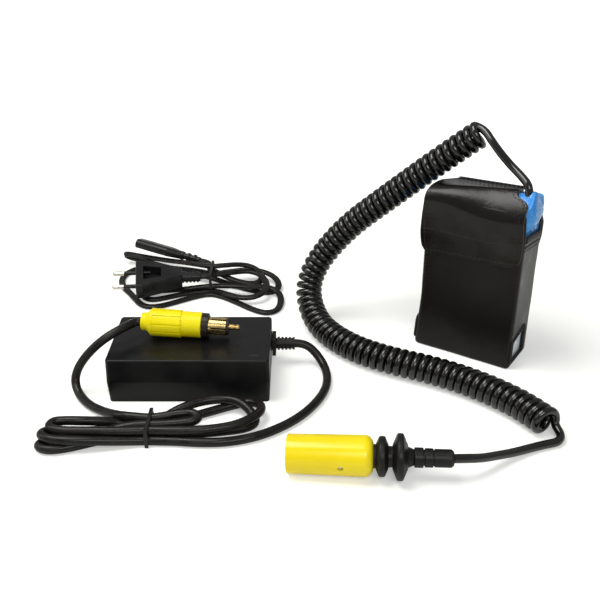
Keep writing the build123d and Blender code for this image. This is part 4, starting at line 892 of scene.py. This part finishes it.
def hide_middle(across, row):
    """A point of the hide's middle, with row from 0 at its rear edge to 3 at the flap's low edge."""
    if row <= 2.0:
        left, right = panel_edges(row_depth(flap_left, row))[0], panel_edges(row_depth(flap_right, row))[1]
        u = left + (right - left) * across
        start = row_depth(u, 1.0)
        if row <= 1.0:
            return u, row_depth(u, row), panel_middle(u, row_depth(u, row))
        fallen = bend_drop(u) * (1.0 - max(math.cos(math.radians(90.0 * (row - 1.0))), 0.0) ** bend_slack(u))
        return u, row_depth(u, row), panel_middle(u, start) - fallen
    share = row - 2.0
    left, right = flap_edges(share)
    middle = 0.5 * (left + right)
    above_low = (1.0 - share) * (fold_height(middle) - bend_drop(middle) - flap_low(middle))
    below_corner = max(flap_corner - above_low, 0.0)
    inset = flap_corner - math.sqrt(max(flap_corner ** 2 - below_corner ** 2, 0.0))
    u = left + inset + (right - left - 2.0 * inset) * across
    top = panel_middle(u, flap_middle_v + bend_reach(u)) - bend_drop(u)
    z = top - share * (top - flap_low(u))
    stand_off = stand_off_low * smooth(0.35, 1.0, share) * smooth(30.0, 70.0, u)
    stand_off += stand_off_middle * math.sin(math.pi * share)
    wave = hide_wave * noise.noise(Vector((u * 0.06, z * 0.07, 3.0))) * smooth(0.0, 0.3, share)
    return u, flap_middle_v - max(stand_off + wave, -0.1), z


def grid_faces(long_steps, cross_steps):
    """The faces between rows of points, each row one step along and cross_steps + 1 points across."""
    row = cross_steps + 1
    return [(i * row + k, (i + 1) * row + k, (i + 1) * row + k + 1, i * row + k + 1)
            for i in range(long_steps) for k in range(cross_steps)]


hide_columns = 64
hide_rows = [k / 30.0 for k in range(30)] + [1.0 + k / 9.0 for k in range(9)]
hide_rows += [2.0 + 0.82 * k / 24.0 for k in range(24)]
hide_rows += [2.82 + 0.18 * math.sin(0.5 * math.pi * k / 12.0) for k in range(13)]
hide_points = [in_pouch(*hide_middle(i / hide_columns, row)) for row in hide_rows for i in range(hide_columns + 1)]
hide_faces = grid_faces(len(hide_rows) - 1, hide_columns)
flap_hide = hide("flap_hide", (0.0030, 0.0022, 0.0020), (0.0060, 0.0048, 0.0044), 0.21, (900.0, 0.00006),
                 (80.0, 0.0003), 0.26)
cut_edge = moulding("cut_edge", (0.04, 0.036, 0.033), (0.10, 0.092, 0.086), 0.55, 0.1, 1800.0, 0.00003, 140.0)
top_and_flap = new_piece("top_and_flap", hide_points, hide_faces)
top_and_flap.data.materials.append(flap_hide)
top_and_flap.data.materials.append(cut_edge)
with_wall(top_and_flap, hide_thickness, 0.0, 1, rim=1)
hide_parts("pouch_top_panel", "pouch_flap")
blend_half = 0.0075
bend_middle = in_pouch(*hide_middle(0.5, 1.5))
hinge_line = in_pouch(flap_left, flap_middle_v, fold_left) - in_pouch(flap_right, flap_middle_v, fold_right)
hinge_line.normalize()
over_the_bend = in_pouch(0, 0, 0) - in_pouch(0, 1, 1)
over_the_bend -= hinge_line * over_the_bend.dot(hinge_line)
over_the_bend *= blend_half / over_the_bend.length
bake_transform(top_and_flap)


# Stitching
# Bonded black thread runs round the flap a few millimetres inside its edge, across the
# flap where the catch is sewn on behind, and along the pouch's own seams.
def stitch_tree():
    tree = bpy.data.node_groups.new("lockstitch", "GeometryNodeTree")
    tree.interface.new_socket("Seam", in_out="INPUT", socket_type="NodeSocketGeometry")
    for label in ("Pitch", "Stitch Length", "Thread Width"):
        tree.interface.new_socket(label, in_out="INPUT", socket_type="NodeSocketFloat")
    tree.interface.new_socket("Thread", in_out="INPUT", socket_type="NodeSocketMaterial")
    tree.interface.new_socket("Stitches", in_out="OUTPUT", socket_type="NodeSocketGeometry")
    made = {label: tree.nodes.new(kind) for label, kind in (
        ("given", "NodeGroupInput"), ("curve", "GeometryNodeMeshToCurve"), ("spaced", "GeometryNodeResampleCurve"),
        ("tangent", "GeometryNodeInputTangent"), ("turned", "FunctionNodeAlignRotationToVector"),
        ("bead", "GeometryNodeMeshUVSphere"), ("size", "ShaderNodeCombineXYZ"), ("stretch", "GeometryNodeTransform"),
        ("points", "GeometryNodeCurveToPoints"), ("placed", "GeometryNodeInstanceOnPoints"),
        ("real", "GeometryNodeRealizeInstances"), ("thread", "GeometryNodeSetMaterial"), ("out", "NodeGroupOutput"))}
    made["spaced"].mode = "LENGTH"
    made["points"].mode = "EVALUATED"
    made["turned"].axis = "X"
    made["bead"].inputs["Segments"].default_value = 8
    made["bead"].inputs["Rings"].default_value = 6
    made["bead"].inputs["Radius"].default_value = 0.5

    for source, output, target, socket in (
            ("given", "Seam", "curve", "Mesh"), ("curve", 0, "spaced", "Curve"),
            ("given", "Pitch", "spaced", "Length"), ("spaced", 0, "points", "Curve"),
            ("points", "Tangent", "turned", "Vector"),
            ("given", "Stitch Length", "size", "X"), ("given", "Thread Width", "size", "Y"),
            ("given", "Thread Width", "size", "Z"), ("bead", "Mesh", "stretch", "Geometry"),
            ("size", 0, "stretch", "Scale"), ("points", "Points", "placed", "Points"),
            ("stretch", 0, "placed", "Instance"), ("turned", 0, "placed", "Rotation"),
            ("placed", 0, "real", "Geometry"), ("real", 0, "thread", "Geometry"),
            ("given", "Thread", "thread", "Material"), ("thread", 0, "out", "Stitches")):
        tree.links.new(made[source].outputs[output], made[target].inputs[socket])
    return tree


lockstitch = stitch_tree()
thread_black = moulding("thread_black", (0.007, 0.0068, 0.0068), (0.014, 0.0135, 0.0135), 0.45, 0.1, 3000.0, 0.00001)


stitch_pitch, stitch_length = 2.9, 2.2


def sewn(name, seams, thread_width):
    """Rows of stitches along open lines of points, made one piece."""
    points, edges = [], []
    for seam in seams:
        start = len(points)
        points += seam
        edges += [(start + k, start + k + 1) for k in range(len(seam) - 1)]
    mesh = bpy.data.meshes.new(name)
    mesh.from_pydata(points, edges, [])
    piece = placed(name, mesh)
    row = piece.modifiers.new("lockstitch", "NODES")
    row.node_group = lockstitch
    sizes = {"Pitch": stitch_pitch / 1000.0, "Stitch Length": stitch_length / 1000.0,
             "Thread Width": thread_width / 1000.0, "Thread": thread_black}
    for item in lockstitch.interface.items_tree:
        if item.name in sizes:
            row[item.identifier] = sizes[item.name]
    settled(piece)
    return piece


sunk_share = 0.95


def on_hide(across, row):
    """A point just under the hide's outer face, where a stitch lies half sunk."""
    here = in_pouch(*hide_middle(across, row))
    beside = in_pouch(*hide_middle(across + 0.01, row))
    further = in_pouch(*hide_middle(across, row + 0.01))
    outward = (further - here).cross(beside - here).normalized()
    return here + outward * (sunk_share * hide_thickness / 2000.0)


edge_share = 3.3 / pouch_width
catch_row, low_row = 2.50, 2.915
left_seam, right_seam = [[on_hide(across, row) for row in evenly(0.10, 2.88, 120)]
                         for across in (edge_share, 1.0 - edge_share)]
low_seam = [on_hide(across, low_row) for across in evenly(edge_share, 1.0 - edge_share, 60)]
catch_seam = [on_hide(across, catch_row) for across in evenly(0.045, 0.895, 60)]
flap_stitches = sewn("flap_stitches", [left_seam, right_seam, low_seam, catch_seam], 0.62)
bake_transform(flap_stitches)

thread_out, side_seam_below = 0.12, 9.0
front_seam = [softened(3.6, -thread_out, z) for z in evenly(8.0, 72.0, 60)]
side_seam = [softened(pouch_width + thread_out, v, side_top(v) - side_seam_below) for v in side_run]
pouch_stitches = sewn("pouch_stitches", [front_seam, side_seam], 0.6)
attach(pouch_stitches, "battery_set")


# Rear seam strip
# A narrow strip of the same leather is folded over the top panel's rear edge and sewn
# through, which joins the panel to the pouch's back.
strip_v, strip_rise = 35.4, 0.6
strip_line = [in_pouch(u, strip_v, panel_middle(u, strip_v) + strip_rise) for u in evenly(9.0, 55.0, 40)]
strip_section = [(-2.6, -0.55), (-2.8, 0.0), (-2.5, 0.4), (0.0, 0.55), (2.5, 0.4), (2.8, 0.0), (2.6, -0.55)]
rear_strip = strip_along("rear_strip", strip_line, strip_section, flap_hide)
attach(rear_strip, "battery_set")
rear_stitches = sewn("rear_stitches", [[spot + straight_up * 0.0007 for spot in strip_line]], 0.6)
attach(rear_stitches, "battery_set")


# Catch
# Two pads of woven hook and loop tape, one sewn behind the flap and one on the front.
tape_weave, given, put_out = shader_group("tape_weave", {
    "Colour": (0.01, 0.01, 0.01), "Raised Colour": (0.02, 0.02, 0.02), "Roughness": 0.7,
    "Rib Scale": 900.0, "Rib Height": 0.0002,
})
ribs = wired(tape_weave, "ShaderNodeTexWave", {
    "Vector": given["Coordinates"], "Scale": given["Rib Scale"], "Distortion": 0.6,
}, bands_direction="Z")
fuzz = cloud(tape_weave, given["Coordinates"], 2400.0)
woven = worked(tape_weave, "MULTIPLY", ribs.outputs["Fac"], worked(tape_weave, "ADD", fuzz, 0.3))
fill(tape_weave, put_out, {
    "Colour": blended(tape_weave, woven, given["Colour"], given["Raised Colour"]),
    "Roughness": worked(tape_weave, "ADD", given["Roughness"], worked(tape_weave, "MULTIPLY", fuzz, 0.08)),
    "Height": worked(tape_weave, "MULTIPLY", woven, given["Rib Height"]),
})


def woven_tape(name, colour, raised_colour, roughness, rib_scale, rib_height, sheen):
    values = {"Colour": colour, "Raised Colour": raised_colour, "Roughness": roughness, "Rib Scale": rib_scale,
              "Rib Height": rib_height}
    return finish(name, tape_weave, values, {"Sheen Weight": sheen})


hook_tape = woven_tape("hook_tape", (0.008, 0.008, 0.008), (0.03, 0.03, 0.03), 0.75, 420.0, 0.0003, 0.3)
coat_nodes(hook_tape, "flap_catch_loops", "flap_catch_hooks")


# Belt loop
# A wide strap of ribbed polypropylene webbing is sewn to the pouch's back along its two
# edges and stands off between them to take a belt.
webbing = woven_tape("belt_webbing", (0.009, 0.009, 0.0095), (0.026, 0.026, 0.027), 0.6, 260.0, 0.0004, 0.2)
loop_low, loop_high, loop_reach, loop_thickness = 74.0, 113.0, 6.4, 1.5
loop_columns, loop_rows = 40, 44
loop_points = []
for u in evenly(2.0, 70.0, loop_columns):
    for z in evenly(loop_low, loop_high, loop_rows):
        arch = smooth(loop_low + 5.0, loop_low + 16.0, z) * (1.0 - smooth(loop_high - 16.0, loop_high - 5.0, z))
        sway = 0.4 * noise.noise(Vector((u * 0.05, z * 0.05, 9.0)))
        loop_points.append(in_pouch(u, pouch_depth + 0.9 + loop_reach * arch + sway * arch, z))
belt_strap = new_piece("belt_strap", loop_points, grid_faces(loop_columns, loop_rows))
belt_strap.data.materials.append(webbing)
with_wall(belt_strap, loop_thickness, 0.0)
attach(belt_strap, "battery_set")
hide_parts("belt_loop")
seam_inset, seam_v = 2.2, pouch_depth + 1.75
loop_seams = [[in_pouch(u, seam_v, z) for u in evenly(4.0, 68.0, 60)]
              for z in (loop_low + seam_inset, loop_high - seam_inset)]
loop_stitches = sewn("loop_stitches", loop_seams, 0.6)
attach(loop_stitches, "battery_set")


# Curly cord
# A glossy polyurethane cord, 5.5 mm thick, wound hot into a spring nearly 21 mm across. It
# leaves the battery beside the flap's fold, leans down to the table and ends in the socket.
def coil_spots(axis_line, radius, turn_pitch, first_angle, last_angle, spots_per_turn):
    """Points round a bent axis, with a whole number of turns and the two end angles that are given."""
    lengths = [0.0]
    for a, b in zip(axis_line, axis_line[1:]):
        lengths.append(lengths[-1] + (b - a).length)
    total = lengths[-1]
    angles = [first_angle]
    for a, b in zip(lengths, lengths[1:]):
        angles.append(angles[-1] + 360.0 * (b - a) / turn_pitch((a + b) / 2.0, total))
    turned = angles[-1] - first_angle
    rest = last_angle - first_angle
    wanted = round((turned - rest) / 360.0) * 360.0 + rest
    spots, k = [], 0
    count = int(round(wanted / 360.0 * spots_per_turn))
    for i in range(count + 1):
        angle = turned * i / count
        while k < len(angles) - 2 and angles[k + 1] - first_angle < angle:
            k += 1
        share = (angle - (angles[k] - first_angle)) / (angles[k + 1] - angles[k])
        spot = axis_line[k].lerp(axis_line[k + 1], share)
        ahead, behind = axis_line[min(k + 3, len(axis_line) - 1)], axis_line[max(k - 2, 0)]
        along = (ahead - behind).normalized()
        level = along.cross(straight_up).normalized()
        up = level.cross(along)
        a = math.radians(first_angle + wanted * i / count)
        spots.append((spot + (level * math.cos(a) + up * math.sin(a)) * radius) * 1000.0)
    return spots


curly_gloss = moulding("curly_gloss", (0.0035, 0.0032, 0.003), (0.0055, 0.005, 0.0046), 0.13, 0.05, 500.0, 0.000004,
                       80.0, Specular_IOR_Level=0.4, Coat_Weight=0.25, Coat_Roughness=0.08)
coil_route = [
    (229.4, -68.4, 10.35), (220.2, -52.6, 10.35), (206.5, -37.2, 10.35), (192.1, -24.6, 10.35),
    (177, -13.8, 10.35), (161, -4.8, 10.35), (144.3, 2.8, 10.35), (127.9, 11.8, 10.35), (112.6, 23.2, 10.35),
    (99.4, 38.4, 10.35), (89.3, 55, 11.2), (82.6, 73.5, 16.4), (80.6, 85.6, 28.4), (86, 92.4, 43.2),
    (98, 94.6, 60.4), (114.2, 92.2, 79.4), (133.2, 86.2, 97.4), (152.8, 79.6, 115.8), (173, 73, 134.6),
    (198.4, 66.7, 155.9),
]
coil_line = line_through(coil_route, 12)


curly_thickness, coil_radius, closed_pitch, parting = 5.5, 0.00765, 0.0058, 0.10
coil_start, coil_end, spots_per_turn = 330.0, 95.0, 14


def nearly_closed(s, total):
    """The pitch at a length s along the axis. The turns part a little where the cord bends upwards."""
    at_left_turn = math.exp(-((s - 0.47 * total) / 0.04) ** 2)
    return closed_pitch * (1.0 + parting * at_left_turn)


turns = coil_spots(coil_line, coil_radius, nearly_closed, coil_start, coil_end, spots_per_turn)
tail_from_battery = [
    (224.67, 20.95, 127.7), (224.67, 20.95, 133.2), (221.4, 29, 137.2), (215, 38, 142.4),
    (208.6, 45.4, 149.0), (203.6, 52, 155.2), (200.0, 59.2, 160.6),
]
lead_to_socket = [
    (238, -72.5, 3.4), (234.6, -78.4, 2.8), (226.2, -80.6, 2.8), (214.5, -85.2, 3.1), (203, -91.4, 4.6),
    (191.5, -98, 7.6), (181, -104.8, 11), (170.8, -109.5, 14.5), (163.4, -110.2, 14.9),
]
curly_cord = laid_curve("curly_cord", tail_from_battery + turns[::-1] + lead_to_socket, curly_thickness, 3)
curly_cord.data.materials.append(curly_gloss)
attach(curly_cord, "battery_set")
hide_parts("curly_cord_tail", "curly_cord_coil", "curly_cord_lead")


# Socket
# The socket's body is moulded in the same ABS as the plug in a warmer, glossier yellow,
# with a black liner insert. A soft rubber boot with two round flanges grips its cord.
socket_yellow = moulding("socket_yellow", (0.84, 0.65, 0.003), (0.87, 0.70, 0.005), 0.22, 0.08, 1300.0, 0.000005,
                         40.0, Specular_IOR_Level=0.4)
boot_rubber = moulding("boot_rubber", (0.0075, 0.007, 0.007), (0.012, 0.0112, 0.0108), 0.40, 0.12, 1300.0, 0.00001)
coat_nodes(socket_yellow, "socket_body")
coat_nodes(boot_rubber, "socket_boot")
coat_nodes(collar_black, "socket_insulator")
coat_nodes(nickel, "socket_sleeve_contact", "socket_centre_contact")
coat_nodes(steel, "socket_screw")
